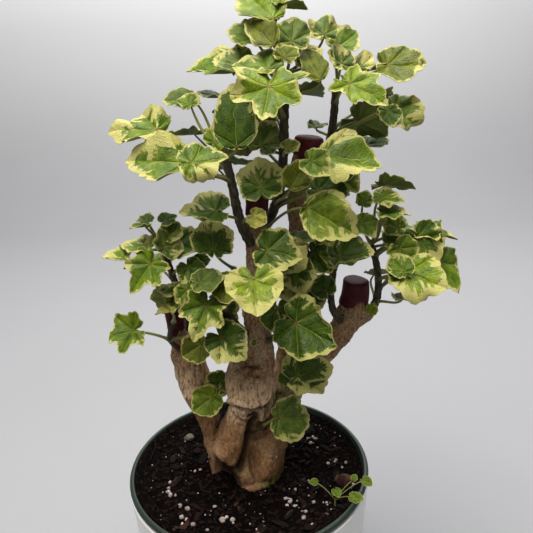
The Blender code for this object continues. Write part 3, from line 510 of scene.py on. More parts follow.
def leafMargin(angle, form, toothShare, rng):
    # the margin: its form times lobes and uneven waves, and teeth as |cos(teeth * angle / 2)| ^ 0.7
    waves = drawnWaves(angle, (2, 3, 5, 7), rng)
    teeth = round(form["teeth"] * toothShare)
    tooth = np.abs(np.cos(teeth * angle / 2 + rng.uniform(-0.3, 0.3))) ** 0.7 - 0.9
    tooth = tooth * blade["toothDepth"] * (1 + 0.6 * waves) * form["ragged"]
    between = 0.5 - 0.5 * np.cos(2 * np.pi * np.abs(angle) / blade["lobeStep"])
    lobing = 1 - blade["lobing"] * form["ragged"] * between
    uneven = blade["uneven"] * form.get("uneven", 1.0)
    return marginReach(angle, form) * blade["reach"] * (1 + uneven * waves) * lobing, tooth


def relieved(height, angle, share, reach, rng):
    # grooves along the main veins, pillows between them, a ruffled margin and a saddle's twist
    off = np.abs(np.mod(np.abs(angle) / blade["lobeStep"] + 0.5, 1) - 0.5) * blade["lobeStep"]
    groove = np.exp(-(reach * np.sin(off) / blade["grooveWidth"]) ** 2) * np.minimum(share * 3, 1)
    pillow = np.sin(np.pi * off / blade["lobeStep"]) * np.minimum(share * 1.6, 1)
    ruffle = drawnWaves(angle, (6, 9, 13), rng)
    saddle = drawnWaves(angle, (2,), rng)
    height = (height - blade["groove"] * groove + blade["pillow"] * pillow
              + blade["ruffle"] * ruffle * share ** 3)
    return height + blade["saddle"] * saddle * share ** 2


def creamDepth(angle, level, side, rng):
    # the cream margin's depth: a slow wave, or a bell about the side where it is deepest
    slow = drawnWaves(angle, (1, 2, 4), rng)
    if side is None:
        depth = level * (0.75 + 1.3 * slow)
    else:
        gap = np.mod(angle - math.radians(side) + np.pi, 2 * np.pi) - np.pi
        depth = level * (0.22 + 0.25 * slow + 1.25 * np.exp(-(gap / 0.95) ** 2))
    return np.maximum(depth, 0.02)


def bladeFaces(rows, samples):
    # the upper grid, the lower one, the rim between them and a fan at the joint on each side
    quads = gridFaces(rows, samples)
    count, edge = rows * samples, (rows - 1) * samples
    step = np.arange(samples)
    after = (step + 1) % samples
    return [quads[:, ::-1], quads + count,
            np.stack([edge + step, count + edge + step, count + edge + after, edge + after], -1),
            np.stack([np.full(samples, 2 * count), step, after], -1),
            np.stack([np.full(samples, 2 * count + 1), count + after, count + step], -1)]


def addLeaf(heap, joint, axes, width, form, phase, look, seed, rolls=()):
    # a thin closed blade: joint + (tip * x + across * y + face * h) * width on a grid of share and
    # angle, with half its thickness to each side along the surface's own normal
    tip, across, face = axes
    green, creamLevel, creamSide = look
    samples, toothShare = next(rest for least, *rest in blade["samples"] if width >= least)
    angle = roundAngles(samples)
    angle = np.where(angle > np.pi + 1e-9, angle - 2 * np.pi, angle)
    rng = np.random.default_rng(seed)
    outer, tooth = leafMargin(angle, form, toothShare, rng)
    share = np.array(blade["rings"])[:, None]
    reach = share * outer * (1 + tooth * share ** 4)
    x, y = reach * np.cos(angle), reach * np.sin(angle)
    height = relieved(bladeHeight(x, y, form, phase), angle, share, reach, rng)
    for roll in rolls:
        x, y, height = rollEdge(x, y, height, math.radians(roll[0]), *roll[1:])
    grid = joint + (tip * x[..., None] + across * y[..., None] + face * height[..., None]) * width
    normal = unit(np.cross(np.gradient(grid, axis=0), np.roll(grid, -1, 1) - np.roll(grid, 1, 1)))
    inner, rim = blade["thickness"]
    half = (inner + (rim - inner) * share[..., None]) / 2
    upper, lower = grid + normal * half, grid - normal * half
    points = np.vstack([upper.reshape(-1, 3), lower.reshape(-1, 3),
                        joint + face * inner / 2, joint - face * inner / 2])
    marks = np.zeros((len(share), samples, 9))
    marks[..., 0], marks[..., 1], marks[..., 2] = reach * np.cos(angle), reach * np.sin(angle), seed
    marks[..., 3], marks[..., 4] = share, creamDepth(angle, creamLevel, creamSide, rng)
    marks[..., 6:] = np.array(bladeLook["greens"][green]) * rng.uniform(0.88, 1.12)
    above = marks.reshape(-1, 9)
    below = above.copy()
    below[:, 5] = 1
    joints = np.vstack([above[:1], below[:1]])
    joints[:, :2] = joints[:, 3:5] = 0
    heap.add(points, bladeFaces(len(share), samples), 0, np.vstack([above, below, joints]))


def addTube(heap, grid, slot, along, seed, tint=0.0):
    # a closed tube that holds how far along and round it each point is; the poles copy the end rings
    rows, sides = grid.shape[:2]
    points, faces = closedTube(grid)
    marks = np.zeros((rows, sides, 9))
    marks[..., 0], marks[..., 1] = along[:, None], np.arange(sides) / sides
    marks[..., 2], marks[..., 6:] = seed, tint
    marks = marks.reshape(-1, 9)
    heap.add(points, faces, slot, np.vstack([marks, marks[:1], marks[-1:]]))


def addTwig(heap, path, radii, seed, tint, sides=7, slot=1):
    # a round twig or stalk: a circle of that radius carried along the path
    addTube(heap, tube(path, radii, sides), slot, np.linspace(0, 1, len(path)), seed, tint)


stalk = {"rows": 13, "clear": 12.0, "radius": 0.70, "taper": 0.28, "foot": 0.85, "neck": 0.20}


def addStalk(heap, stemPath, joint, axes, seed, tint):
    # a cubic Bezier from the stem, out and up, to the joint from behind and under the blade
    tip, across, face = axes
    clear = stemPath[np.linalg.norm(stemPath - stemPath[0], axis=1) > stalk["clear"]]
    clear = clear if len(clear) else stemPath[-1:]
    fit = np.abs(clear[:, 2] + 0.5 * np.linalg.norm((clear - joint)[:, :2], axis=1) - joint[2])
    start = clear[np.argmin(fit)]
    span = np.linalg.norm(joint - start)
    outward = (joint - start) * (1, 1, 0)
    outward = unit(outward) if np.linalg.norm(outward) > 0.1 else tip
    leave = start + (outward * 0.30 + np.array([0, 0, 0.22])) * span
    arrive = joint - unit(tip * 0.55 + face * 0.60) * span * 0.30
    end = joint - face * 0.35
    t = np.linspace(0, 1, stalk["rows"])[:, None]
    path = (start * (1 - t) ** 3 + leave * 3 * t * (1 - t) ** 2
            + arrive * 3 * t * t * (1 - t) + end * t ** 3)
    radii = (stalk["radius"] + stalk["taper"] * (1 - t) + stalk["foot"] * np.exp(-(t / 0.10) ** 2)
             - stalk["neck"] * t ** 6)
    addTwig(heap, path, radii, seed, tint)


stem = {"step": 0.8, "sides": 16, "taper": 0.25, "collarEvery": 5.5, "collar": 0.13, "flutes": 5,
        "flute": 0.09, "rough": 0.07}


def addStem(heap, path, lengths, radius, seed):
    # a ridged stem: collars that step in at each leaf scar, and flutes that wind round
    angles = roundAngles(stem["sides"])
    taper = 1 - stem["taper"] * lengths / lengths[-1]
    collar = 1.02 - stem["collar"] * np.mod(lengths / stem["collarEvery"], 1) ** 0.7
    tipped = np.minimum(1, (lengths[-1] - lengths) / 2.5 + 0.25)
    flutes = 1 + stem["flute"] * np.cos(stem["flutes"] * angles[None] + lengths[:, None] * 0.16 + seed)
    grid = tube(path, (radius * taper * collar * tipped)[:, None] * flutes, stem["sides"])
    rough = latticeNoise(grid.reshape(-1, 3), 1.6, seed).reshape(grid.shape[:2])
    grid = path[:, None] + (grid - path[:, None]) * (1 + stem["rough"] * rough[..., None])
    addTube(heap, grid, 2, lengths, seed)


# Each leaf: the joint's x, z and depth, the angle of the tip in the front view (0 right, 90 up),
# how far the face tilts up from the viewer and turns to the right, width, form, green, depth of
# the cream margin, and the side of the view where it is deepest
shoots = {
    "crown_shoot": dict(
        radius=3.4,
        stem=[(12, 300, 6), (17, 311, 13), (23, 324, 14), (27, 337, 12), (29, 352, 9),
              (30, 370, 7), (31, 386, 5), (31, 397, 4)],
        leaves=[
            (26, 426, 2, 118, 28, 0, 30, "long", "bright", 0.10, None),
            (30, 431, 12, 20, 75, 0, 20, "heart", "olive", 0.15, None),
            (15, 417, 4, 155, 32, 0, 21, "round", "mid", 0.35, -50),
            (25.5, 413, -9, 128, 15, 0, 16, "oval", "olive", 0.08, None),
            (35.5, 414.5, -2, 80, 10, 10, 20, "heart", "grey", 0.22, None),
            (31, 406.5, -12, 55, 25, 0, 14, "heart", "olive", 0.12, None),
            (50.5, 394.5, -8, 112, 10, 0, 15, "oval", "olive", 0.09, None),
            (52.5, 417, 8, 85, 15, 0, 18, "ruffled", "grey", 0.50, None),
            (4.5, 400, 6, 140, 48, 0, 30, "long", "mid", 0.12, None),
            (8, 403, -4, 140, 42, 0, 24, "round", "grey", 0.24, None),
            (22, 401, -16, 150, 45, 0, 27, "heart", "mid", 0.30, None),
            (22.5, 391.5, -32, -98, 34, 0, 41, "star", "bright", 0.16, None),
            (17, 360, 6, 60, 15, 0, 22, "round", "grey", 0.10, None),
            (51.5, 354.5, -16, -20, 36, 0, 30, "long", "mid", 0.55, None),
            (44.5, 350, -27, -35, 20, 0, 18, "heart", "mid", 0.20, None),
            (31.5, 358, -6, 30, 30, 0, 11, "heart", "olive", 0.20, None),
            (33, 335.5, -22, 60, 5, 0, 17, "long", "olive", 0.07, None),
            (42, 323, -28, -30, 12, 0, 29, "long", "bright", 0.28, None),
            (48.5, 333.5, -6, -15, 35, 0, 25, "round", "dark", 0.12, None),
            (16, 335.5, -14, 95, 15, 0, 27, "heart", "dark", 0.50, 110),
            (62, 346, -2, -70, 20, 0, 14, "round", "dark", 0.10, None),
            (61, 341, 4, -50, 25, 0, 20, "heart", "mid", 0.20, None),
            (22, 400, 30, 120, 75, 0, 29, "round"),
            (36, 388, 40, 80, 82, 0, 32, "heart"),
            (10, 380, 28, 160, 70, 0, 28, "lobed"),
            (24, 362, 44, 110, 95, 0, 30, "heart"),
            (12, 350, 30, 150, 85, 0, 24, "round"),
            (20, 384, 38, -100, 138, 0, 28, "heart"),
            (6, 366, 34, -125, 142, 0, 25, "round"),
            (44, 404, 0, 95, 18, 0, 17, "heart", "dark", 0.25, None),
        ]),
    "top_right_shoot": dict(
        radius=3.0,
        stem=[(38, 334, 21), (46, 343, 28), (53, 352, 31), (56, 364, 28), (58, 378, 24),
              (59, 391, 21)],
        leaves=[
            (60, 411, 18, 40, 25, 0, 20, "round", "mid", 0.25, None),
            (62, 402, 6, 100, 15, 30, 18, "heart", "grey", 0.50, None),
            (72, 400, 14, 100, 35, 0, 20, "ruffled", "grey", 0.50, None),
            (87, 400.5, 16, -12, 28, 0, 28, "round", "olive", 0.08, None),
            (66.5, 391.5, -2, -45, 35, 0, 31, "lobed", "bright", 0.14, None),
            (88, 376, 6, -80, 20, 0, 14, "heart", "dark", 0.10, None),
            (91, 377, 14, -50, 30, 0, 27, "heart", "mid", 0.35, -50),
            (71, 372, 26, -45, 125, 0, 30, "heart", "grey", 0.08, None),
            (48, 369, 36, 80, 60, 0, 13, "round", "mid", 0.10, None),
            (75, 358, 32, 20, 60, 0, 22, "round", "dark", 0.12, None),
            (70, 398, 42, 30, 80, 0, 28, "round"),
            (58, 388, 54, 90, 90, 0, 30, "heart"),
            (80, 384, 46, -10, 85, 0, 26, "lobed"),
            (50, 330, 46, -75, 138, 0, 26, "heart"),
        ]),
    "upper_left_shoot": dict(
        radius=3.2,
        stem=[(8.5, 303, -1), (4, 313, -6), (1, 326, -8), (-1, 340, -8), (-3, 353, -7)],
        leaves=[
            (-41, 371, 2, 172, 42, 0, 36, "ruffled", "mid", 0.38, None),
            (-27.5, 352, -20, 168, 25, 0, 31, "long", "mid", 0.45, 140),
            (-23, 352, -34, 15, 45, 0, 26, "heart", "mid", 0.38, -60),
            (-19, 386, 8, 172, 38, 0, 17, "long", "grey", 0.06, None),
            (-4, 387.5, 10, 158, 66, 0, 19, "round", "grey", 0.05, None),
            (-21, 384, 2, 110, 30, 0, 13, "heart", "mid", 0.25, None),
            (3, 360, -22, 91, -5, 0, 24, "oval", "dark", 0.42, -90),
            (-9.5, 363, -8, 50, 20, 0, 16, "round", "mid", 0.30, None),
            (-11, 323, -22, 176, 42, 0, 28, "heart", "dark", 0.42, 140),
            (10.5, 319.5, -20, -35, 10, 0, 12, "round", "pale", 0.05, None),
            (-20, 368, 28, 150, 80, 0, 28, "heart"),
            (-8, 348, 32, 170, 85, 0, 26, "round"),
        ]),
    "left_shoot": dict(
        radius=2.6,
        stem=[(-35.5, 245, 17), (-34, 258, 21), (-37, 272, 17), (-40, 286, 13), (-43, 299, 10),
              (-45, 308, 8)],
        leaves=[
            (-51.5, 319, 8, 125, 45, 0, 11, "heart", "dark", 0.10, None),
            (-53, 316, 2, 182, 78, 0, 13, "heart", "mid", 0.30, None),
            (-41.5, 318.5, 4, 45, 40, 0, 12, "heart", "dark", 0.10, None),
            (-54, 303.5, 0, 165, 58, 0, 22, "heart", "mid", 0.48, None),
            (-68, 297.5, -6, 186, 64, 0, 18, "round", "mid", 0.55, None),
            (-52.5, 292.5, -12, -125, 15, 0, 27, "lobed", "mid", 0.12, None),
            (-43, 302, -8, 48, 25, 40, 20, "heart", "grey", 0.25, None),
            (-41, 309, 0, 55, 35, 0, 16, "round", "grey", 0.20, None),
            (-36, 305, 6, -30, 40, 0, 25, "round", "dark", 0.12, None),
            (-24, 293, 8, 0, 20, 0, 11, "round", "dark", 0.08, None),
            (-37, 274, -4, 178, 62, 0, 18, "round", "mid", 0.45, None),
            (-38, 273, -5, -112, 15, 0, 15, "round", "mid", 0.15, None),
            (-32, 275, -14, -75, 10, 0, 17, "heart", "mid", 0.25, None),
            (-36, 306, 30, 100, 80, 0, 26, "round"),
            (-50, 294, 32, 150, 85, 0, 28, "heart"),
            (-28, 284, 38, 60, 90, 0, 27, "heart"),
            (-42, 272, 36, -110, 140, 0, 25, "heart"),
            (-30, 290, -4, -60, 10, 0, 18, "round", "dark", 0.15, None),
        ]),
    "low_left_shoot": dict(
        radius=1.8,
        stem=[(-41, 236, 4), (-45, 241, -3), (-45, 247, -6), (-42, 254, -7)],
        leaves=[
            (-68, 249, -8, 196, 28, 0, 28, "lobed", "mid", 0.14, None),
            (-26, 237.5, -16, -150, 0, 0, 19, "round", "olive", 0.07, None),
            (-43, 261, -17, 178, 75, 0, 13, "heart", "pale", 0.60, None),
        ]),
    "front_left_shoot": dict(
        radius=2.0,
        stem=[(5, 243, -6), (-2, 250, -15), (-8, 260, -18), (-12, 271, -17)],
        leaves=[
            (-21, 264.5, -27, -110, 15, 0, 29, "lobed", "mid", 0.22, -90),
            (-15, 264, -14, -50, 25, 20, 24, "heart", "dark", 0.30, -50),
            (-13, 242, -28, -45, 15, 0, 26, "heart", "dark", 0.34, -70),
            (-24, 279, -24, 10, 50, 0, 21, "round", "grey", 0.10, None),
            (-10, 277, -22, -30, 20, 0, 20, "round", "olive", 0.12, None),
        ]),
    "centre_shoot": dict(
        radius=2.0,
        stem=[(10, 266, -3), (15, 272, -12), (19, 281, -15), (20, 290, -15)],
        leaves=[
            (18, 298, -26, -15, 20, 0, 27, "heart", "dark", 0.34, -60),
            (27, 297, -14, -40, 10, 0, 23, "round", "dark", 0.45, -20),
            (9, 279.5, -40, -88, 42, 0, 31, "smooth", "bright", 0.52, None),
            (35, 304, -6, -5, 65, 0, 20, "round", "dark", 0.10, None),
            (35, 286, -13, -80, 10, 0, 22, "heart", "dark", 0.35, -90),
            (32, 277, -13, -75, 10, 0, 20, "heart", "dark", 0.40, -90),
            (26, 285, -8, -60, 5, 0, 18, "round", "dark", 0.20, -60),
        ]),
    "back_shoot": dict(
        radius=1.8,
        stem=[(11, 252, 3), (14, 260, 12), (13, 270, 17), (11, 281, 18)],
        leaves=[
            (22, 288, 28, -60, 138, 0, 27, "heart"),
            (12, 262, 36, -90, 145, 0, 26, "heart"),
            (-4, 268, 24, 170, 110, 0, 22, "round"),
        ]),
    "centre_left_sprout": dict(
        radius=1.4,
        stem=[(8, 276, -1), (2, 281, -8), (-2, 287, -11)],
        leaves=[
            (-14, 300.5, -17, 95, 12, 0, 26, "heart", "dark", 0.40, 80),
        ]),
    "front_right_shoot": dict(
        radius=2.0,
        stem=[(10, 236, -4), (19, 240, -13), (25, 246, -16), (30, 254, -16)],
        leaves=[
            (34, 250, -31, -32, 12, 0, 38, "heart", "dark", 0.24, 40),
            (21, 258, -10, -100, 5, 0, 17, "round", "dark", 0.12, None),
            (31, 263, -11, -80, 0, 0, 18, "round", "dark", 0.20, None),
        ]),
    "fork_inner_shoot": dict(
        radius=2.6,
        stem=[(64, 249, 10), (58, 256, 3), (56, 266, 2), (57, 280, 2), (59, 293, 2),
              (61, 302, 2)],
        leaves=[
            (61, 292, -15, 5, 35, 0, 28, "round", "dark", 0.14, None),
            (60, 291, -6, 110, 10, 0, 19, "heart", "mid", 0.20, None),
            (45, 295, -4, -50, 15, 0, 22, "heart", "dark", 0.20, None),
            (53, 270, -6, 120, 10, 0, 16, "round", "dark", 0.15, None),
            (44, 270, -2, -60, 0, 0, 16, "round", "dark", 0.12, None),
            (73, 313, -2, -60, 35, 0, 18, "heart", "mid", 0.15, None),
            (58, 302, 28, 120, 85, 0, 27, "round"),
            (46, 290, 45, 170, 90, 0, 25, "heart"),
        ]),
    "fork_outer_shoot": dict(
        radius=2.8,
        stem=[(75, 252, 11), (83, 261, 13), (85, 274, 13), (83, 288, 13), (80, 300, 13)],
        leaves=[
            (75, 325, 6, 70, 10, 0, 11, "heart", "mid", 0.10, None),
            (87, 335, 12, -40, 100, 0, 26, "lobed", "grey", 0.08, None),
            (85, 327, 3, -25, 50, 0, 19, "heart", "mid", 0.35, None),
            (88, 318, -2, -30, 60, 0, 20, "heart", "mid", 0.38, None),
            (108, 303, 4, -60, 5, 0, 28, "heart", "dark", 0.30, -60),
            (111, 306, 12, -33, 60, 0, 27, "lobed", "dark", 0.14, None),
            (91, 300, 4, 15, 30, 0, 17, "round", "mid", 0.30, None),
            (97, 296, -4, -50, 10, 20, 22, "heart", "mid", 0.25, None),
            (101.5, 280.5, -12, -36, 38, 0, 34, "heart", "bright", 0.55, -95),
            (100, 281, -17, 115, 30, 0, 17, "round", "mid", 0.20, None),
            (122, 286, 4, -62, 20, 30, 30, "heart", "mid", 0.28, None),
            (100, 263, -2, -32, 80, 0, 26, "round", "dark", 0.20, None),
            (81, 255, 2, 80, 10, 0, 8, "round", "bright", 0.08, None),
            (92, 306, 32, 30, 85, 0, 27, "round"),
            (100, 290, 36, 0, 90, 0, 27, "heart"),
            (82, 280, 40, 80, 95, 0, 24, "round"),
            (96, 309, 4, 150, 25, 0, 16, "heart", "mid", 0.30, None),
        ]),
    "low_right_sprout": dict(
        radius=1.3,
        stem=[(14, 202, -2), (22, 200, -8), (25, 202, -9)],
        leaves=[
            (34.5, 212, -14, 20, 36, 0, 32, "heart", "dark", 0.62, -85),
            (25, 209, -11, 60, 0, 0, 9, "round", "dark", 0.10, None),
        ]),
    "foot_sprout": dict(
        radius=1.1,
        stem=[(-2, 170, -9), (5, 172, -14), (11, 176, -15)],
        leaves=[
            (21.5, 181, -16, -4, 5, 32, 30, "round", "grey", 0.14, None),
        ]),
    "crotch_sprout": dict(
        radius=1.3,
        stem=[(-21, 176, 5), (-17, 183, 1), (-17.5, 192, 1), (-18.5, 199, 3)],
        leaves=[
            (-21.5, 199.5, -8, -145, 10, 0, 21, "round", "bright", 0.09, None),
            (-14, 211, 2, -148, 10, 0, 18, "round", "dark", 0.40, -130),
        ]),
}
# Edges that curl over: the side of the view, where the curl starts and its radius, in leaf widths,
# and up towards the face or down
curls = {
    ("front_right_shoot", 0): [(8, 0.34, 0.13, 1)],
    ("fork_inner_shoot", 0): [(-80, 0.20, 0.12, 1)],
    ("centre_left_sprout", 0): [(-95, 0.12, 0.10, 1)],
    ("upper_left_shoot", 1): [(-75, 0.26, 0.16, 1)],
    ("upper_left_shoot", 2): [(-80, 0.20, 0.14, -1)],
    ("upper_left_shoot", 8): [(-100, 0.28, 0.16, 1)],
    ("crown_shoot", 13): [(-110, 0.26, 0.20, -1)],
    ("crown_shoot", 2): [(-60, 0.16, 0.14, 1)],
    ("top_right_shoot", 6): [(-50, 0.42, 0.14, -1)],
    ("fork_outer_shoot", 8): [(-100, 0.30, 0.22, -1)],
}


def drawnLook(rng):
    # the look of a leaf at the back, which no one place in the view sets
    return (rng.choice(["dark", "mid", "mid", "grey", "olive", "bright"]),
            rng.choice([0.08, 0.12, 0.2, 0.3, 0.45]), rng.choice([None, None, -90, 60]))


def keepInside(points):
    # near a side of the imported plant's box the blades are drawn in, so that none passes it
    points, soft = points.copy(), blade["softEdge"]
    for axis, side, sign in ((0, 0, -1), (0, 1, 1), (2, 1, 1)):
        edge = sign * (cadBox[side][axis] / mm) - 0.1 - soft
        beyond = np.maximum(sign * points[:, axis] - edge, 0)
        points[:, axis] -= sign * (beyond - soft * (1 - np.exp(-beyond / soft)))
    return points


def makeShoot(name, shoot, materials):
    # each row's leaf and its stalk, then the stem, drawn in from the sides of the box
    heap = Heap()
    rng = random.Random(len(name))
    looks = random.Random(name)
    path, lengths = evenSteps(place(smoothRows(shoot["stem"], 12)), stem["step"])
    for index, row in enumerate(shoot["leaves"]):
        x, z, depth, tipAngle, faceUp, faceRight, width, form = row[:8]
        joint = place((x, z, depth))
        axes = leafAxes(tipAngle, faceUp, faceRight)
        phase = rng.uniform(0, 2 * math.pi)
        green, cream, side = row[8:] or drawnLook(looks)
        seed = len(name) * 40 + index
        turned = None if side is None else side - tipAngle
        rolls = [(aim - tipAngle, *rest) for aim, *rest in curls.get((name, index), ())]
        addLeaf(heap, joint, axes, width, leafForms[form], phase, (green, cream, turned), seed, rolls)
        addStalk(heap, path, joint, axes, seed, bladeLook["greens"][green])
    addStem(heap, path, lengths, shoot["radius"], len(name))
    heap.points = [keepInside(points) for points in heap.points]
    return heap.piece(name + "_leaves", materials, replaced=[name], slot="leaf")


foliage = [bladeMaterial(), stalkMaterial(), stemMaterial()]
for name, shoot in shoots.items():
    makeShoot(name, shoot, foliage)
print("foliage made")


# A weed seedling: where it stands, then each leaflet's offset from there and height over the soil,
# the angle of its tip and its width, which leafSize scales
seedling = {"foot": (54.0, -37.0), "soil": 141.5, "neck": 3.0, "faceUp": 55.0, "leafSize": 0.8,
            "stalk": 0.34, "stem": 0.6,
            "leaflets": [(-11, 8, 10.5, 170, 7), (0.5, 2.5, 8.5, 280, 8), (9, -9, 12.5, 340, 10),
                         (18, 2, 16, 300, 9), (12, 5, 14, 70, 6)]}


def makeSeedling():
    # each stalk is a quadratic Bezier from the neck, bent upward, to its leaflet's joint
    heap = Heap()
    foot = np.array([*seedling["foot"], seedling["soil"]])
    neck = foot + (0, 0, seedling["neck"])
    tint = bladeLook["greens"]["mid"]
    form = dict(leafForms["round"], teeth=2, cup=0.12, point=0.16)
    upright = np.linspace(foot - (0, 0, 5), neck + (0, 0, 0.4), 6)
    addTwig(heap, upright, np.full(6, seedling["stem"]), 1, tint)
    for index, (x, y, z, tipAngle, width) in enumerate(seedling["leaflets"]):
        joint = foot + (x, y, z)
        axes = leafAxes(tipAngle, seedling["faceUp"], 0.0)
        addLeaf(heap, joint, axes, width * seedling["leafSize"], form, 0.0, ("mid", 0.0, None), index)
        t = np.linspace(0, 1, 9)[:, None]
        bend = (neck + joint) / 2 + (0, 0, 3.2)
        path = neck * (1 - t) ** 2 + bend * 2 * t * (1 - t) + (joint - axes[2] * 0.2) * t * t
        addTwig(heap, path, seedling["stalk"] - 0.08 * t[:, 0], index, tint, 6)
    heap.piece("seedling_leaves", foliage, replaced=["seedling"], slot="leaf")


# Three young leaves that break from the bark: the joint and the stalk's foot, as places in the view,
# then width and the angle of the tip
buds = [((7, 236, -14.5), (8, 234, -6), 5.0, 95), ((19.5, 194, -8), (16, 190, 0), 6.0, 60),
        ((21, 200, -6), (18, 196, 0), 4.5, 120)]


def makeBuds():
    # each a small leaf at the joint of a straight stalk
    heap = Heap()
    for index, (joint, root, width, tipAngle) in enumerate(buds):
        joint, root = place(joint), place(root)
        addLeaf(heap, joint, leafAxes(tipAngle, 25.0, 0.0), width, leafForms["round"], 0.0,
                ("grey", 0.45, None), index)
        addTwig(heap, np.linspace(root, joint, 5), np.full(5, 0.5), index,
                bladeLook["greens"]["pale"], 6)
    heap.piece("trunk_buds", foliage, slot="leaf")


makeSeedling()
makeBuds()
print("seedling and buds made")


# Trunk

wood = {
    "limbs": {
        "centre": [(-7, 124, -9, 15), (-12, 143, -10, 12.8), (-12.5, 155, -10, 11.8),
                   (-10, 165, -9, 11.3), (-6.5, 175, -8, 10.8), (-2.7, 183, -7, 10.5),
                   (0.5, 188, -6, 12.0), (3, 194, -6, 14.8), (4, 202, -6, 15.7),
                   (4.6, 211, -6, 15.6), (6, 218, -6, 13.6), (10, 225, -5, 9.6),
                   (10.6, 240, -4, 7.8), (9, 258, -3, 8.1), (9.5, 284, 0, 5.3), (10, 300, 2, 4.8),
                   (11, 311, 3, 5.8), (12.5, 322, 3, 5.0), (13.5, 334, 3, 4.8)],
        "right": [(8, 124, -4, 13), (12.5, 143, -5, 11.2), (13.3, 154, -4, 11.0),
                  (14.1, 164, -2, 11.2), (15.3, 174, 1, 10.6), (18.6, 184, 5, 9.8),
                  (24, 193, 9, 9.6), (30, 204, 12, 9.4), (38, 217, 14, 9.2), (52, 231, 14, 8.6),
                  (63, 244, 13, 8.2), (69, 255, 12, 9.0), (70.5, 266, 11, 7.0),
                  (71, 276, 10, 6.4)],
        "left": [(-14, 124, 2, 12), (-18, 148, 3, 10), (-20, 162, 6, 8.2), (-22, 172, 8, 7.4),
                 (-24, 181, 10, 7.2), (-27, 190, 11, 7.8), (-30.5, 203, 12, 10.4),
                 (-32.5, 215, 12, 11.4), (-35.5, 229, 11, 10.6), (-38, 240, 11, 7.4),
                 (-40, 248, 10, 4.9), (-41.5, 261, 10, 4.2)],
        "back": [(16, 178, 16, 10), (23, 205, 22, 8.6), (30, 240, 24, 7.4), (36, 280, 23, 6.6),
                 (37, 310, 20, 5.8), (35.5, 328, 20, 5.4), (39, 345, 20, 6.4), (43, 356, 20, 7.8),
                 (44, 363, 20, 7.4)],
        "frontToe": [(-8, 140, -10, 11), (-14, 146, -9, 10.5), (-18, 154, -4, 9),
                     (-20, 161, 0, 6)],
        "heel": [(-31, 206, 9, 8), (-35.5, 202, 7, 6), (-39, 199, 6, 3.2)],
        "forkHeel": [(66, 250, 10, 6), (76, 254, 11, 6.0), (80, 260, 11, 4.6)],
    },
    "foot": dict(centre=(2.0, -1.0), half=(18.5, 21.0), bottom=110.0, top=143.0, sides=40, rows=12),
    "gnarl": 0.075, "sides": 36, "steps": 6, "voxel": 0.85,
    # rolls round the centre limb under its knob: height, which row of the limb, half width in rows
    "rolls": [(1.5, 6.55, 0.28), (-1.9, 5.75, 0.30), (0.9, 5.25, 0.16)],
    # knots and pruning scars: x, z and depth in the view, ring radius, height and pit depth
    "scars": [(11, 215, -22, 3.6, 1.0, 1.5), (-1, 221, -20, 2.6, 0.7, 0.8),
              (17, 190, -16, 3.2, 1.0, 0.6), (-9, 203, -20, 2.0, 0.5, 0.5),
              (10, 250, -12, 2.2, 0.5, 0.5), (36, 208, 4, 2.6, 0.6, 0.9),
              (-30, 222, 0, 2.4, 0.6, 0.8), (58, 236, 6, 2.4, 0.5, 0.7),
              (8, 268, -10, 1.8, 0.4, 0.5), (20, 150, -18, 2.4, 0.4, 0.4)],
    # creases pressed in along a line: points in the view, half width and depth
    "creases": [
        ([(5.5, 180, -14), (4, 172, -14), (2, 162, -16), (-0.5, 152, -19), (-4, 141, -22)], 3.6, 8.5),
        ([(-15, 194, -14), (-8, 189.5, -17), (2, 186.5, -20), (11, 188, -17), (17, 193, -12)],
         1.5, 2.6),
        ([(-27, 146, -10), (-23, 139, -16), (-18, 132, -20), (-14, 127, -24)], 7.0, 10.0),
        ([(-26, 150, -10), (-21, 143, -15), (-13, 139, -20)], 1.5, 1.4),
        ([(16, 190, -10), (14.5, 182, -12), (11, 175, -13)], 2.0, 2.6),
        ([(-20, 178, -8), (-12, 174, -14), (-5, 175, -16)], 0.7, 0.5),
        ([(-23, 168, -8), (-14, 163, -14), (-6, 164, -16)], 0.7, 0.5),
        ([(8, 150, -12), (14, 147, -12), (19, 150, -10)], 0.8, 0.6),
        ([(-7, 217, -20), (0, 221, -20), (8, 221, -20), (13, 216, -18)], 0.8, 1.8),
        ([(-4, 211, -21), (4, 214, -21), (11, 211, -19)], 0.8, 1.7),
        ([(4, 214, -21), (5, 218, -21), (4, 222, -20)], 0.7, 1.5),
        ([(-9, 206, -21), (0, 203, -22), (8, 205, -22)], 0.7, 1.1)],
    # ridges raised along a line, such as the lip of the knob and the roll of the root
    "ridges": [
        ([(-15, 197.5, -14), (-8, 193.5, -18), (2, 190.5, -21), (11, 192, -18), (16, 197, -12)],
         1.9, 2.4),
        ([(-29, 163, -8), (-26, 156, -10), (-20, 150, -14)], 4.0, 2.0),
        ([(-6, 136, -22), (2, 133, -24), (10, 135, -22)], 5.0, 2.0),
        ([(18, 178, -8), (17, 166, -12), (15, 154, -16), (12, 146, -18)], 5.0, 1.8)],
}


def limbGrid(name, sides):
    # rings of gnarled outline: radius * (1 + gnarl * (sin(2a + turn) + 0.7 sin(3a - 1.7 turn)))
    rows = smoothRows(wood["limbs"][name], wood["steps"])
    centres = place(rows[:, :3])
    index = np.arange(len(rows)) / wood["steps"]
    turn = (0.8 * index + len(name))[:, None]
    angles = roundAngles(sides)[None]
    gnarl = 1 + wood["gnarl"] * (np.sin(2 * angles + turn) + 0.7 * np.sin(3 * angles - 1.7 * turn))
    radii = rows[:, 3][:, None] * gnarl
    if name == "centre":
        lip = index[:, None] + 0.22 * np.sin(angles + 0.8)
        for rise, row, width in wood["rolls"]:
            radii = radii + rise * np.exp(-((lip - row) / width) ** 2)
    return centres, radii, tube(centres, radii, sides)


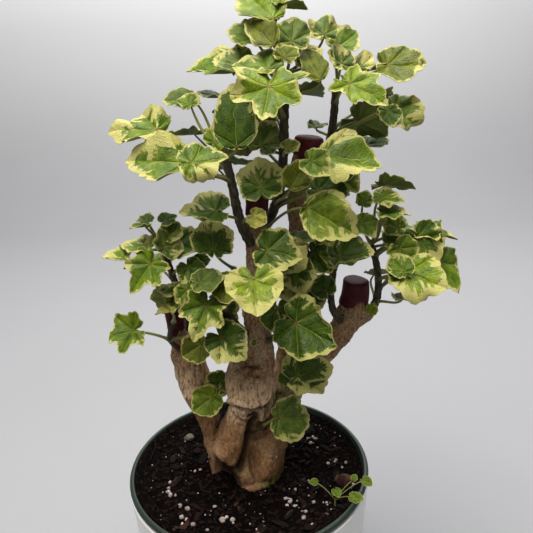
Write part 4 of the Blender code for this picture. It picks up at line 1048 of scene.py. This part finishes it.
def remeshed(name, heap, voxel):
    # one skin over overlapping closed shapes
    rough = linked(name, heap.mesh(name))
    remesh = rough.modifiers.new("skin", "REMESH")
    remesh.mode = "VOXEL"
    remesh.voxel_size = voxel * mm
    smooth = rough.modifiers.new("smooth", "SMOOTH")
    smooth.factor, smooth.iterations = 0.5, 3
    skin = withModifiers(rough)
    bpy.data.objects.remove(rough)
    return skin


def readPoints(mesh):
    # the mesh's points in millimetres, and their normals
    points, normals = (np.zeros(len(mesh.vertices) * 3) for _ in range(2))
    mesh.vertices.foreach_get("co", points)
    mesh.vertices.foreach_get("normal", normals)
    return points.reshape(-1, 3) / mm, normals.reshape(-1, 3)


def lineGap(points, line):
    # how far each point is from a line laid on the skin, wandering a little
    eye, route = sight["eye"], place(smoothRows(line, 8))
    shift = latticeNoise(points, 4.0, 17)[:, None] * 0.6
    near = np.full(len(points), 99.0)
    for spot in route:
        ahead = unit(spot - eye)
        reach = (points - eye) @ ahead
        beside = np.linalg.norm(points - eye - reach[:, None] * ahead, axis=1)
        spot = points[np.argmin(np.where(beside < 1.2, reach, 1e9))]
        near = np.minimum(near, np.linalg.norm(points + shift - spot, axis=1))
    return near


def barkMaterial():
    # tan fibres over the knob and limbs, smoother and browner at the foot, green by the soil; the
    # deepest creases get painted shade, from an attribute that is 1 there
    finish = Finish("trunkBark", Specular_IOR_Level=0.15)
    spot = finish.objectPlace()
    xPlace, _, height = finish.parts(spot)
    coarse = finish.noise(spot, 0.07, 4.0, 0.6)
    fibres = finish.noise(finish.objectPlace((1, 1, 0.30)), 0.55, 5.0, 0.68, 0.4)
    speckle = finish.noise(spot, 0.75, 4.0, 0.75)
    fissure = finish.cells(finish.objectPlace((1, 1, 0.40)), 0.34, 0, "DISTANCE_TO_EDGE")
    crack = 1 - finish.step(fissure, 0.0, 0.10)
    colour = finish.ramp(fibres, (0.28, (0.110, 0.054, 0.022)), (0.46, (0.300, 0.165, 0.078)),
                         (0.60, (0.440, 0.262, 0.128)), (0.76, (0.660, 0.470, 0.280)))
    colour = finish.mix(finish.step(coarse, 0.42, 0.66) * 0.55, colour, (0.44, 0.34, 0.22))
    dark = finish.step(speckle, 0.50, 0.62) * (0.18 + finish.step(height, 212, 236) * 0.62)
    colour = finish.mix(dark, colour, (0.050, 0.034, 0.022))
    lichen = finish.step(speckle, 0.30, 0.22) * 0.6
    colour = finish.mix(lichen, colour, (0.46, 0.40, 0.30))
    band = finish.step(height, 190.0, 198.0) * (1 - finish.step(height, 216.0, 228.0))
    colour = finish.mix(crack * (band * 0.45 + 0.20), colour, (0.060, 0.034, 0.018))
    knob = (finish.step(height, 186.0, 194.0) * (1 - finish.step(height, 210.0, 226.0))
            * finish.step(fibres, 0.35, 0.55))
    colour = finish.mix(knob * 0.75, colour, (0.78, 0.55, 0.34))
    low = 1 - finish.step(height + speckle * 6, 143.0, 156.0)
    # darker towards the soil
    darkerLow = 1 - finish.step(height + coarse * 20, 146.0, 172.0)
    smooth = 1 - finish.step(height + coarse * 10, 186.0, 200.0)
    colour = finish.mix(smooth * 0.50, colour, (0.25, 0.115, 0.045))
    colour = finish.mix(darkerLow * 0.40, colour, (0.15, 0.065, 0.025))
    green = low * finish.step(xPlace + coarse * 12, 8.0, 20.0)
    colour = finish.mix(green * 0.8, colour, (0.075, 0.105, 0.012))
    # painted shade: near-black brown laid into the deepest creases, by how far the skin is pressed in
    hollow = finish.parts(finish.attribute("hollow"))[0]
    colour = finish.mix(finish.step(hollow, 0.12, 0.85) * 0.85, colour, (0.035, 0.018, 0.009))
    relief = fibres * 1.1 + speckle * 0.8 - crack * 0.35
    return finish.done(colour, 0.72 + speckle * 0.2, finish.bump(relief, 0.9, 0.9))


def footGrid():
    # the oval stub in the soil: centre + (half x * cos, half y * sin) at each level
    foot = wood["foot"]
    turn = roundAngles(foot["sides"])
    ring = np.stack([foot["centre"][0] + foot["half"][0] * np.cos(turn),
                     foot["centre"][1] + foot["half"][1] * np.sin(turn)], -1)
    levels = np.linspace(foot["bottom"], foot["top"], foot["rows"])
    return np.stack([np.column_stack([ring, np.full(foot["sides"], level)]) for level in levels])


def barkRelief(points):
    # how far the skin is pushed out: layered noise, less furrows, plus a ring and a pit at each scar,
    # and a bell of the gap to each crease (pressed in) and ridge (raised)
    push = (0.75 * latticeNoise(points, 9.0, 3) + 0.42 * layeredNoise(points * (1, 1, 0.35), 2.6, 5)
            + 0.22 * layeredNoise(points, 1.7, 9, 2))
    furrow = np.abs(latticeNoise(points * (1, 1, 0.22), 3.2, 21))
    push -= 0.55 * np.exp(-(furrow / 0.12) ** 2)
    for x, z, depth, size, rise, pit in wood["scars"]:
        spot = place((x, z, depth))
        spot = points[np.argmin(np.linalg.norm(points - spot, axis=1))]
        gap = np.linalg.norm(points - spot, axis=1) * (1 + 0.18 * latticeNoise(points, 3.0, 2))
        push += rise * np.exp(-((gap - size) / 0.8) ** 2) - pit * np.exp(-(gap / (size * 0.5)) ** 2)
        push -= 0.4 * rise * np.exp(-((gap - size * 1.55) / 0.6) ** 2)
    for lines, sign in ((wood["creases"], -1), (wood["ridges"], 1)):
        for line, width, depth in lines:
            push += sign * depth * np.exp(-(lineGap(points, line) / width) ** 2)
    return push


def makeTrunk():
    # the limbs and the foot under one skin: point + normal * relief
    heap = Heap()
    for name in wood["limbs"]:
        heap.add(*closedTube(limbGrid(name, wood["sides"])[2]))
    heap.add(*closedTube(footGrid()))
    skin = remeshed("trunk_wood", heap, wood["voxel"])
    points, normals = readPoints(skin)
    push = barkRelief(points)
    skin.vertices.foreach_set("co", ((points + normals * push[:, None]) * mm).ravel())
    # the painted crease shade's mask: how deep each point is pressed in, 1 at 4 mm and more
    held = skin.attributes.new("hollow", "FLOAT_VECTOR", "POINT")
    held.data.foreach_set("vector", np.repeat(np.clip(-push / 4.0, 0, 1), 3))
    skin.materials.clear()
    skin.materials.append(barkMaterial())
    skin.shade_smooth()
    skin.update()
    finishPiece("trunk_wood", skin, ["trunk"])


makeTrunk()
print("trunk made")


# Each cap: the limb it seals and how far down the wax reaches
caps = {"wax_cap_centre": ("centre", 13.0), "wax_cap_right": ("right", 14.0),
        "wax_cap_left": ("left", 13.5), "wax_cap_back": ("back", 12.0)}
wax = {"sides": 40, "coat": 1.5, "rough": 0.28,
       "dome": [(0.96, 0.7), (0.84, 1.3), (0.6, 1.55), (0.3, 1.65)]}  # ring's size and rise


def waxMaterial():
    # dark red in clouds, with paler grit
    finish = Finish("graftingWax", Specular_IOR_Level=0.16)
    spot = finish.objectPlace()
    cloud = finish.noise(spot, 0.30, 3.0, 0.6)
    grit = finish.noise(spot, 1.1, 4.0, 0.7)
    colour = finish.ramp(cloud, (0.3, (0.032, 0.003, 0.005)), (0.7, (0.085, 0.007, 0.011)))
    colour = finish.mix(finish.step(grit, 0.6, 0.75) * 0.5, colour, (0.16, 0.07, 0.06))
    return finish.done(colour, 0.38 + grit * 0.25, finish.bump(grit + cloud, 0.5, 0.6))


def makeCap(name, limb, reach, material):
    # the limb's outline and a little more, from a dripping brim over a domed top
    centres, radii, _ = limbGrid(limb, wax["sides"])
    lengths = lengthsAlong(centres)
    fromTop = lengths[-1] - lengths
    keep = fromTop < reach + 3
    centres, radii, fromTop = centres[keep], radii[keep], fromTop[keep]
    angles = roundAngles(wax["sides"])
    drip = reach + 1.6 * np.sin(2 * angles + len(name)) + 1.1 * np.sin(5 * angles + 1.3)
    coat = np.clip((drip[None] - fromTop[:, None]) / 1.5, -0.6, 1) * wax["coat"]
    grid = tube(centres, radii + coat, wax["sides"])
    ahead = unit(centres[-1] - centres[-3])
    top = [centres[-1] + (grid[-1] - centres[-1]) * size + ahead * rise
           for size, rise in wax["dome"]]
    grid = np.concatenate([grid, np.array(top)])
    rough = layeredNoise(grid.reshape(-1, 3), 3.5, 4).reshape(grid.shape[:2])
    outward = unit(grid - grid.mean(1, keepdims=True))
    heap = Heap()
    heap.add(*closedTube(grid + outward * rough[..., None] * wax["rough"]))
    heap.piece(name.replace("_cap", "_seal"), [material], replaced=[name], slot="wax")


redWax = waxMaterial()
for name, (limb, reach) in caps.items():
    makeCap(name, limb, reach, redWax)
print("wax seals made")


# Pots

pots = {"topRadius": 80.0, "footRadius": 71.0, "height": 143.4, "wall": 2.8, "floor": 5.0,
        "rimRadius": 80.0, "rimTop": 148.0, "rimInner": 77.0, "innerTop": 76.8, "innerFoot": 64.0,
        "bottom": 18.0, "innerWall": 1.2, "innerFloor": 1.8, "drains": 6, "drainRadius": 4.0,
        "drainRing": 46.0, "gap": 0.3, "sides": 160}


def arc(centre, radius, start, end, steps):
    # centre + radius * (cos, sin), from start to end in degrees
    turn = np.radians(np.linspace(start, end, steps))
    return [(centre[0] + radius * math.cos(a), centre[1] + radius * math.sin(a)) for a in turn]


def turned(profile, sides):
    # a profile of (radius, height) turned round Z; its first and last points are the poles
    rows = np.array(profile, float)
    turn = roundAngles(sides)
    grid = np.stack([rows[1:-1, 0:1] * np.cos(turn), rows[1:-1, 0:1] * np.sin(turn),
                     np.broadcast_to(rows[1:-1, 1:2], (len(rows) - 2, sides))], -1)
    points, faces = closedTube(grid)
    points[-2:] = ((0, 0, rows[0, 1]), (0, 0, rows[-1, 1]))
    return points, faces


def potMaterial(name, low, high, roughness, scuff):
    # a cloud between two near colours, with a few brown scuffs
    finish = Finish(name)
    spot = finish.objectPlace()
    cloud = finish.noise(spot, 0.035, 3.0, 0.55)
    grit = finish.noise(spot, 1.4, 3.0, 0.6)
    colour = finish.mix(finish.step(cloud, 0.3, 0.7), low, high)
    specks = finish.step(finish.noise(spot, 0.5, 4.0, 0.7), 0.66, 0.74)
    colour = finish.mix(specks * scuff, colour, (0.12, 0.09, 0.07))
    return finish.done(colour, roughness + cloud * 0.12, finish.bump(grit, 0.15, 0.15))


def makeOuterPot():
    # a straight taper from a rounded foot to a rolled lip, and back down inside to the floor
    p = pots
    slope = (p["topRadius"] - p["footRadius"]) / p["height"]
    lip = p["wall"] / 2
    profile = [(0, 0.6), (p["footRadius"] - 7, 0.6), (p["footRadius"] - 6.4, 0.0)]
    profile += arc((p["footRadius"] - 2, 2), 2, -90, -3, 7)
    profile += [(p["footRadius"] + slope * z, z) for z in np.linspace(6, p["height"] - 3, 14)]
    profile += arc((p["topRadius"] - lip, p["height"] - lip), lip, 0, 180, 13)
    profile += [(p["footRadius"] + slope * p["floor"] - p["wall"], p["floor"]), (0, p["floor"])]
    heap = Heap()
    heap.add(*turned(profile, p["sides"]))
    white = potMaterial("whitePot", (0.79, 0.79, 0.775), (0.82, 0.815, 0.80), 0.30, 0.10)
    heap.piece("outer_pot_shell", [white], replaced=["outer_pot"], slot="outer_pot")


def makeNurseryPot():
    # a thin tapered wall that ends in a rolled rim over the outer pot's lip
    p = pots
    hem = p["height"] + p["gap"]
    roll = (p["rimTop"] - hem) / 2
    floorTop = p["bottom"] + p["innerFloor"]
    profile = [(0, p["bottom"]), (p["innerFoot"], p["bottom"])]
    profile += [(p["innerFoot"] + (p["innerTop"] - p["innerFoot"]) * share,
                 p["bottom"] + (hem - 0.6 - p["bottom"]) * share) for share in (0.25, 0.5, 0.75, 1)]
    profile += [(p["innerTop"] + 0.4, hem)]
    profile += arc((p["rimRadius"] - roll, hem + roll), roll, -90, 90, 13)
    profile += [(p["rimInner"] + 0.2, p["rimTop"] - 0.25), (p["rimInner"] - 0.3, p["rimTop"] - 1.2),
                (p["innerTop"] - p["innerWall"], hem - 2),
                (p["innerFoot"] - p["innerWall"], floorTop), (0, floorTop)]
    heap = Heap()
    heap.add(*turned(profile, p["sides"]))
    green = potMaterial("greenPot", (0.006, 0.016, 0.008), (0.012, 0.026, 0.014), 0.36, 0.25)
    pot = heap.piece("nursery_pot_shell", [green], replaced=["nursery_pot"], slot="nursery_pot")
    cutDrains(pot)


def cutDrains(pot):
    # a ring of round holes through the floor
    holes = Heap()
    turn = roundAngles(pots["drains"])
    for x, y in zip(pots["drainRing"] * np.cos(turn), pots["drainRing"] * np.sin(turn)):
        path = np.array([(x, y, pots["bottom"] - 3 + 2 * i) for i in range(5)])
        holes.add(*closedTube(tube(path, np.full(5, pots["drainRadius"]), 20)))
    tool = linked("drains", holes.mesh("drains"))
    cut = pot.modifiers.new("drains", "BOOLEAN")
    cut.operation, cut.object, cut.solver = "DIFFERENCE", tool, "EXACT"
    pot.data = withModifiers(pot)
    pot.modifiers.clear()
    bpy.data.objects.remove(tool)


makeOuterPot()
makeNurseryPot()
print("pots made")


# Soil

ground = {"top": 141.5, "slope": -0.02, "rings": 96, "sides": 260, "relief": 1.7, "heap": 3.8,
          "heapFrom": 65.0, "mound": (-18.5, -13.5, 10.0, 6.0)}  # mound: x, y, height and spread
perlite = {"fine": (120, 0.25, 0.7), "coarse": (16, 0.9, 1.3), "bunched": (0.7, 1.9),
           # x, y, how many and how far they spread
           "bunches": [(-38, -42, 9, 8), (-14, -48, 5, 4), (34, -44, 6, 6), (-52, -18, 5, 4),
                       (24, -30, 4, 3), (60, 6, 5, 4), (2, -62, 6, 4), (46, 30, 5, 3)]}
mulch = {"splinters": (260, 2.0, 6.5), "flakes": (26, 7.0, 12.0), "crumbs": (200, 0.7, 1.8),
         # points of each twig and its radius
         "twigs": [([(-69, 30), (-68, 20), (-70, 8)], 0.55), ([(34, 17), (39, 26), (45, 32)], 0.5),
                   ([(-30, -55), (-22, -58), (-12, -57)], 0.4)],
         "bigChips": [(62, -17, 11.5), (58, -12, 8.0), (-47, 36, 7.0)]}  # x, y and length
stones = {
    "bark_nugget": dict(at=(62.0, -17.0), size=(6.0, 4.2, 4.4),
                        stops=((0.2, (0.020, 0.008, 0.006)), (0.8, (0.085, 0.036, 0.027)))),
    "pale_stone": dict(at=(-45.0, 35.0), size=(3.4, 2.9, 2.4),
                       stops=((0.2, (0.060, 0.060, 0.042)), (0.8, (0.180, 0.175, 0.125)))),
}


def soilEdge(height):
    # the radius of the soil at a height: the nursery pot's inner wall less the gap
    p = pots
    floorTop, wallTop = p["bottom"] + p["innerFloor"], p["height"] + p["gap"] - 2
    share = (height - floorTop) / (wallTop - floorTop)
    return p["innerFoot"] + (p["innerTop"] - p["innerFoot"]) * share - p["innerWall"] - p["gap"]


def soilHeight(x, y):
    # top + slope * x + clods, crumbs and grit + a heap towards the rim + a mound by the plant's foot
    spots = np.stack([x, y, np.zeros_like(x)], -1).reshape(-1, 3)
    clods = layeredNoise(spots, 11.0, 31, 2)
    crumbs = 1 - np.abs(layeredNoise(spots, 3.6, 37, 3))
    grit = latticeNoise(spots, 1.1, 43)
    rise = ground["relief"] * (0.55 * clods + 0.75 * (crumbs - 0.6) + 0.20 * grit)
    heaped = np.clip((np.hypot(x, y) - ground["heapFrom"]) / 9.0, 0, 1) ** 2 * ground["heap"]
    px, py, size, spread = ground["mound"]
    heaped = heaped + size * np.exp(-((x - px) ** 2 + (y - py) ** 2) / (2 * spread ** 2))
    return ground["top"] + ground["slope"] * x + rise.reshape(x.shape) + heaped


def onSoil(x, y, lift):
    # the point that far above the soil at one place
    return np.array([x, y, soilHeight(np.array([x]), np.array([y]))[0] + lift])


def soilMaterial():
    # near-black crumbs, each of its own colour, with brown grit
    finish = Finish("pottingSoil", Specular_IOR_Level=0.04)
    spot = finish.objectPlace()
    crumbs = finish.cells(spot, 0.55, 1)
    grit = finish.noise(spot, 0.9, 5.0, 0.75)
    cloud = finish.noise(spot, 0.10, 3.0, 0.6)
    draw = finish.parts(crumbs)[0]
    colour = finish.ramp(draw, (0.0, (0.0012, 0.0009, 0.0008)), (0.50, (0.0025, 0.0016, 0.0014)),
                         (0.80, (0.006, 0.0035, 0.003)), (0.97, (0.022, 0.010, 0.007)))
    colour = finish.mix(finish.step(cloud, 0.4, 0.7) * 0.4, colour, (0.005, 0.003, 0.0025))
    colour = finish.mix(finish.step(grit, 0.66, 0.74) * 0.5, colour, (0.030, 0.016, 0.010))
    edge = finish.cells(spot, 0.55, 0)
    return finish.done(colour, 0.82 + grit * 0.15, finish.bump(grit + edge * 0.6, 1.0, 1.6))


def grainMaterial(name, stops, roughness):
    # one colour of the ramp for each grain or chip
    finish = Finish(name, Specular_IOR_Level=0.1)
    spot = finish.objectPlace()
    draw = finish.parts(finish.cells(spot, 0.16, 1))[0]
    grit = finish.noise(spot, 1.5, 3.0, 0.7)
    colour = finish.ramp(draw * 0.75 + grit * 0.3, *stops)
    return finish.done(colour, roughness, finish.bump(grit, 0.7, 0.5))


def scatter(count, rng, free, edge):
    # places on the soil, even over its area, clear of the plant's foot
    angle = rng.uniform(0, 2 * np.pi, count)
    distance = np.sqrt(rng.uniform(free ** 2, edge ** 2, count))
    return distance * np.cos(angle), distance * np.sin(angle)


def lumps(heap, x, y, radii, rng, lift=0.35, flat=0.8):
    # small round grains of 4 rings by 7 sides, each stretched and dented by seeded draws
    around = roundAngles(7)
    level = np.radians([-50, -12, 25, 62])
    shell = np.stack([np.cos(level)[:, None] * np.cos(around),
                      np.cos(level)[:, None] * np.sin(around),
                      np.broadcast_to(np.sin(level)[:, None], (4, 7))], -1)
    for px, py, radius in zip(x, y, radii):
        stretch = rng.uniform(0.75, 1.2, 3) * (1, 1, flat)
        dents = 1 + rng.uniform(-0.16, 0.16, (4, 7, 1))
        heap.add(*closedTube(onSoil(px, py, radius * lift) + shell * dents * stretch * radius))


def chips(heap, x, y, lengths, rng, thickness=0.22):
    # flat splinters lying about: a squashed tube that narrows to both ends
    around = roundAngles(6)
    for px, py, length in zip(x, y, lengths):
        turn, tilt = rng.uniform(0, 2 * np.pi), rng.uniform(-0.3, 0.3)
        ahead = np.array([math.cos(turn), math.sin(turn), tilt])
        aside = np.array([-math.sin(turn), math.cos(turn), rng.uniform(-0.25, 0.25)])
        t = np.linspace(-0.5, 0.5, 5)
        width = (1 - (2 * np.abs(t)) ** 3 * rng.uniform(0.4, 0.8)) * length * rng.uniform(0.12, 0.26)
        upward = np.cross(unit(ahead), unit(aside))
        grid = (onSoil(px, py, 0.5) + ahead * (t * length)[:, None, None]
                + (aside * np.cos(around)[None, :, None]
                   + upward * (np.sin(around) * thickness * 2)[None, :, None])
                * width[:, None, None])
        heap.add(*closedTube(grid))


def makeSoil(edge):
    # (radius * cos, radius * sin, soilHeight) from the rim inward, over a wall down to the pot's floor
    bottom = pots["bottom"] + pots["innerFloor"] + pots["gap"]
    turn = roundAngles(ground["sides"])
    share = np.arange(1, ground["rings"] + 1) / ground["rings"]
    radius = edge * share + 1.0 * share ** 16
    x, y = radius[::-1, None] * np.cos(turn), radius[::-1, None] * np.sin(turn)
    top = np.stack([x, y, soilHeight(x, y)], -1)
    wall = [np.stack([size * np.cos(turn), size * np.sin(turn), np.full(len(turn), level)], -1)
            for size, level in ((soilEdge(bottom), bottom), (soilEdge(80), 80.0),
                                (soilEdge(130), 130.0))]
    heap = Heap()
    heap.add(*closedTube(np.concatenate([np.array(wall), top])))
    heap.piece("soil_surface", [soilMaterial()], replaced=["soil"], slot="soil", sharp=60)


def makePerlite(edge, rng):
    # fine and coarse grains all over, and bunches spread by a bell about their spots
    grains = Heap()
    for (count, least, most), free, clear in ((perlite["fine"], 24, 3), (perlite["coarse"], 26, 4)):
        x, y = scatter(count, rng, free, edge - clear)
        lumps(grains, x, y, rng.uniform(least, most, count), rng)
    for px, py, count, spread in perlite["bunches"]:
        lumps(grains, px + rng.normal(0, spread, count), py + rng.normal(0, spread, count),
              rng.uniform(*perlite["bunched"], count), rng)
    white = grainMaterial("perlite", ((0.0, (0.16, 0.12, 0.10)), (0.5, (0.34, 0.28, 0.25)),
                                      (1.0, (0.50, 0.45, 0.41))), 0.8)
    grains.piece("perlite_grains", [white], slot="soil", sharp=60)


def makeMulch(edge, rng):
    # splinters, flakes and crumbs of bark, a few twigs and some bigger chips
    bits = Heap()
    for (count, least, most), free, clear in ((mulch["splinters"], 22, 4), (mulch["flakes"], 26, 8)):
        x, y = scatter(count, rng, free, edge - clear)
        chips(bits, x, y, rng.uniform(least, most, count), rng)
    count, least, most = mulch["crumbs"]
    lumps(bits, *scatter(count, rng, 22, edge - 3), rng.uniform(least, most, count), rng, 0.2)
    for line, radius in mulch["twigs"]:
        x, y = smoothRows(line, 6).T
        path = np.stack([x, y, soilHeight(x, y) + 0.8], -1)
        addTwig(bits, path, np.full(len(x), radius), 0, 0.0, slot=0)
    chips(bits, *zip(*mulch["bigChips"]), rng, 0.5)
    stops = ((0.0, (0.003, 0.002, 0.0015)), (0.50, (0.006, 0.0035, 0.0025)),
             (0.80, (0.011, 0.005, 0.004)), (1.0, (0.070, 0.028, 0.018)))
    brown = grainMaterial("barkChips", stops, 0.8)
    bits.piece("bark_chips", [brown], slot="soil", sharp=50)


def makeStones():
    # a nugget of bark at the right and a pale stone behind the left: size * (1 + 0.22 * noise) on a
    # ball of 20 rings by 30 sides
    rng = np.random.default_rng(3)
    level, around = np.linspace(-1.45, 1.45, 20)[:, None], roundAngles(30)[None]
    ball = np.stack([np.cos(level) * np.cos(around), np.cos(level) * np.sin(around),
                     np.sin(level) + 0 * around], -1)
    for name, stone in stones.items():
        rough = layeredNoise(ball.reshape(-1, 3) * 4, 3.0, int(rng.integers(90)))
        shell = ball * (1 + 0.22 * rough.reshape(20, 30, 1)) * stone["size"]
        heap = Heap()
        heap.add(*closedTube(shell + onSoil(*stone["at"], stone["size"][2] * 0.45)))
        heap.piece(name, [grainMaterial(name, stone["stops"], 0.75)], slot="soil")


soilRadius = soilEdge(ground["top"])
draws = np.random.default_rng(12)
makeSoil(soilRadius)
makePerlite(soilRadius, draws)
makeMulch(soilRadius, draws)
makeStones()
print("soil made")


# Floor, light and camera

backdrop = {"half": 2600, "near": -2200, "far": 1100, "bend": 500, "height": 2600}
# Each lamp: where it hangs and where it aims, in metres, its size, watts and colour
lamps = {
    "topSoftbox": ((-0.20, -0.35, 1.35), (0.0, 0.0, 0.25), 0.7, 17, (1.0, 0.98, 0.94)),
    "backSoftbox": ((0.5, 0.9, 1.2), (0.0, 0.1, 0.2), 1.0, 5, (0.96, 0.98, 1.0)),
    "backdropSoftbox": ((0.1, 0.3, 1.7), (0.0, 1.6, 0.7), 1.4, 36, (1.0, 1.0, 1.0)),
}
room = {"colour": (0.83, 0.83, 0.83, 1), "strength": 0.30}
lens = {"place": (0.0171, -0.3407, 0.4088), "pitch": 19.53, "roll": -2.33, "focus": 600 / 533 * 36}


def floorMaterial():
    # painted light and shade: darker grey on the floor and paler up the backdrop, for how the lamps
    # fall on one plain sweep
    finish = Finish("paleFloor")
    spot = finish.objectPlace()
    cloud = finish.noise(spot, 0.004, 2.0, 0.5)
    height = finish.parts(spot)[2]
    colour = finish.mix(cloud, (0.300, 0.300, 0.310), (0.320, 0.320, 0.330))
    # painted light: paler with height up the backdrop
    colour = finish.mix(finish.step(height, 30.0, 900.0), colour, (0.80, 0.80, 0.80))
    return finish.done(colour, 0.9)


def makeStage():
    # a floor that bends up into a backdrop: flat, a quarter circle, then upright
    b = backdrop
    turn = np.radians(np.linspace(0, 90, 16))
    profile = [(b["near"], 0)]
    profile += [(b["far"] + b["bend"] * math.sin(a), b["bend"] * (1 - math.cos(a))) for a in turn]
    profile += [(b["far"] + b["bend"], b["height"])]
    rows = np.array([[(x, y, z) for x in (-b["half"], b["half"])] for y, z in profile], float)
    mesh = bpy.data.meshes.new("floor")
    faces = gridFaces(len(rows), 2, wrap=False)
    mesh.from_pydata(rows.reshape(-1, 3) * mm, [], faces[:, ::-1].tolist())
    mesh.shade_smooth()
    mesh.materials.append(floorMaterial())
    linked("floor", mesh)


def standAt(held, spot, side, up, back):
    # the object's x, y and z axes turned to side, up and back, at that spot
    turn = Matrix([axis.tolist() for axis in (side, up, back)]).transposed().to_4x4()
    turn.translation = spot
    held.matrix_world = turn


def makeLamp(name, spot, aim, size, watts, colour):
    lamp = bpy.data.lights.new(name, "AREA")
    lamp.energy, lamp.size, lamp.color = watts, size, colour
    back = unit(np.subtract(spot, aim))
    side = unit(np.cross((0, 0, 1.0), back))
    standAt(linked(name, lamp), spot, side, np.cross(back, side), back)


def makeRoom():
    # an even grey light from all sides
    world = bpy.data.worlds.new("room")
    world.use_nodes = True
    sky = world.node_tree.nodes["Background"]
    sky.inputs[0].default_value, sky.inputs[1].default_value = room["colour"], room["strength"]
    bpy.context.scene.world = world
    bpy.context.scene.view_settings.view_transform = "Standard"


def makeCamera():
    # looks along +Y and down by the pitch, then rolls about its own line of sight
    pitch, roll = math.radians(lens["pitch"]), math.radians(lens["roll"])
    ahead = np.array([0, math.cos(pitch), -math.sin(pitch)])
    right = np.array([1.0, 0.0, 0.0])
    up = np.cross(right, ahead)
    side = right * math.cos(roll) + up * math.sin(roll)
    top = -right * math.sin(roll) + up * math.cos(roll)
    data = bpy.data.cameras.new("camera")
    data.sensor_width, data.lens, data.clip_start = 36, lens["focus"], 0.01
    camera = linked("camera", data)
    standAt(camera, lens["place"], side, top, -ahead)
    bpy.context.scene.camera = camera


makeStage()
for name, lamp in lamps.items():
    makeLamp(name, *lamp)
makeRoom()
makeCamera()
print("stage made")
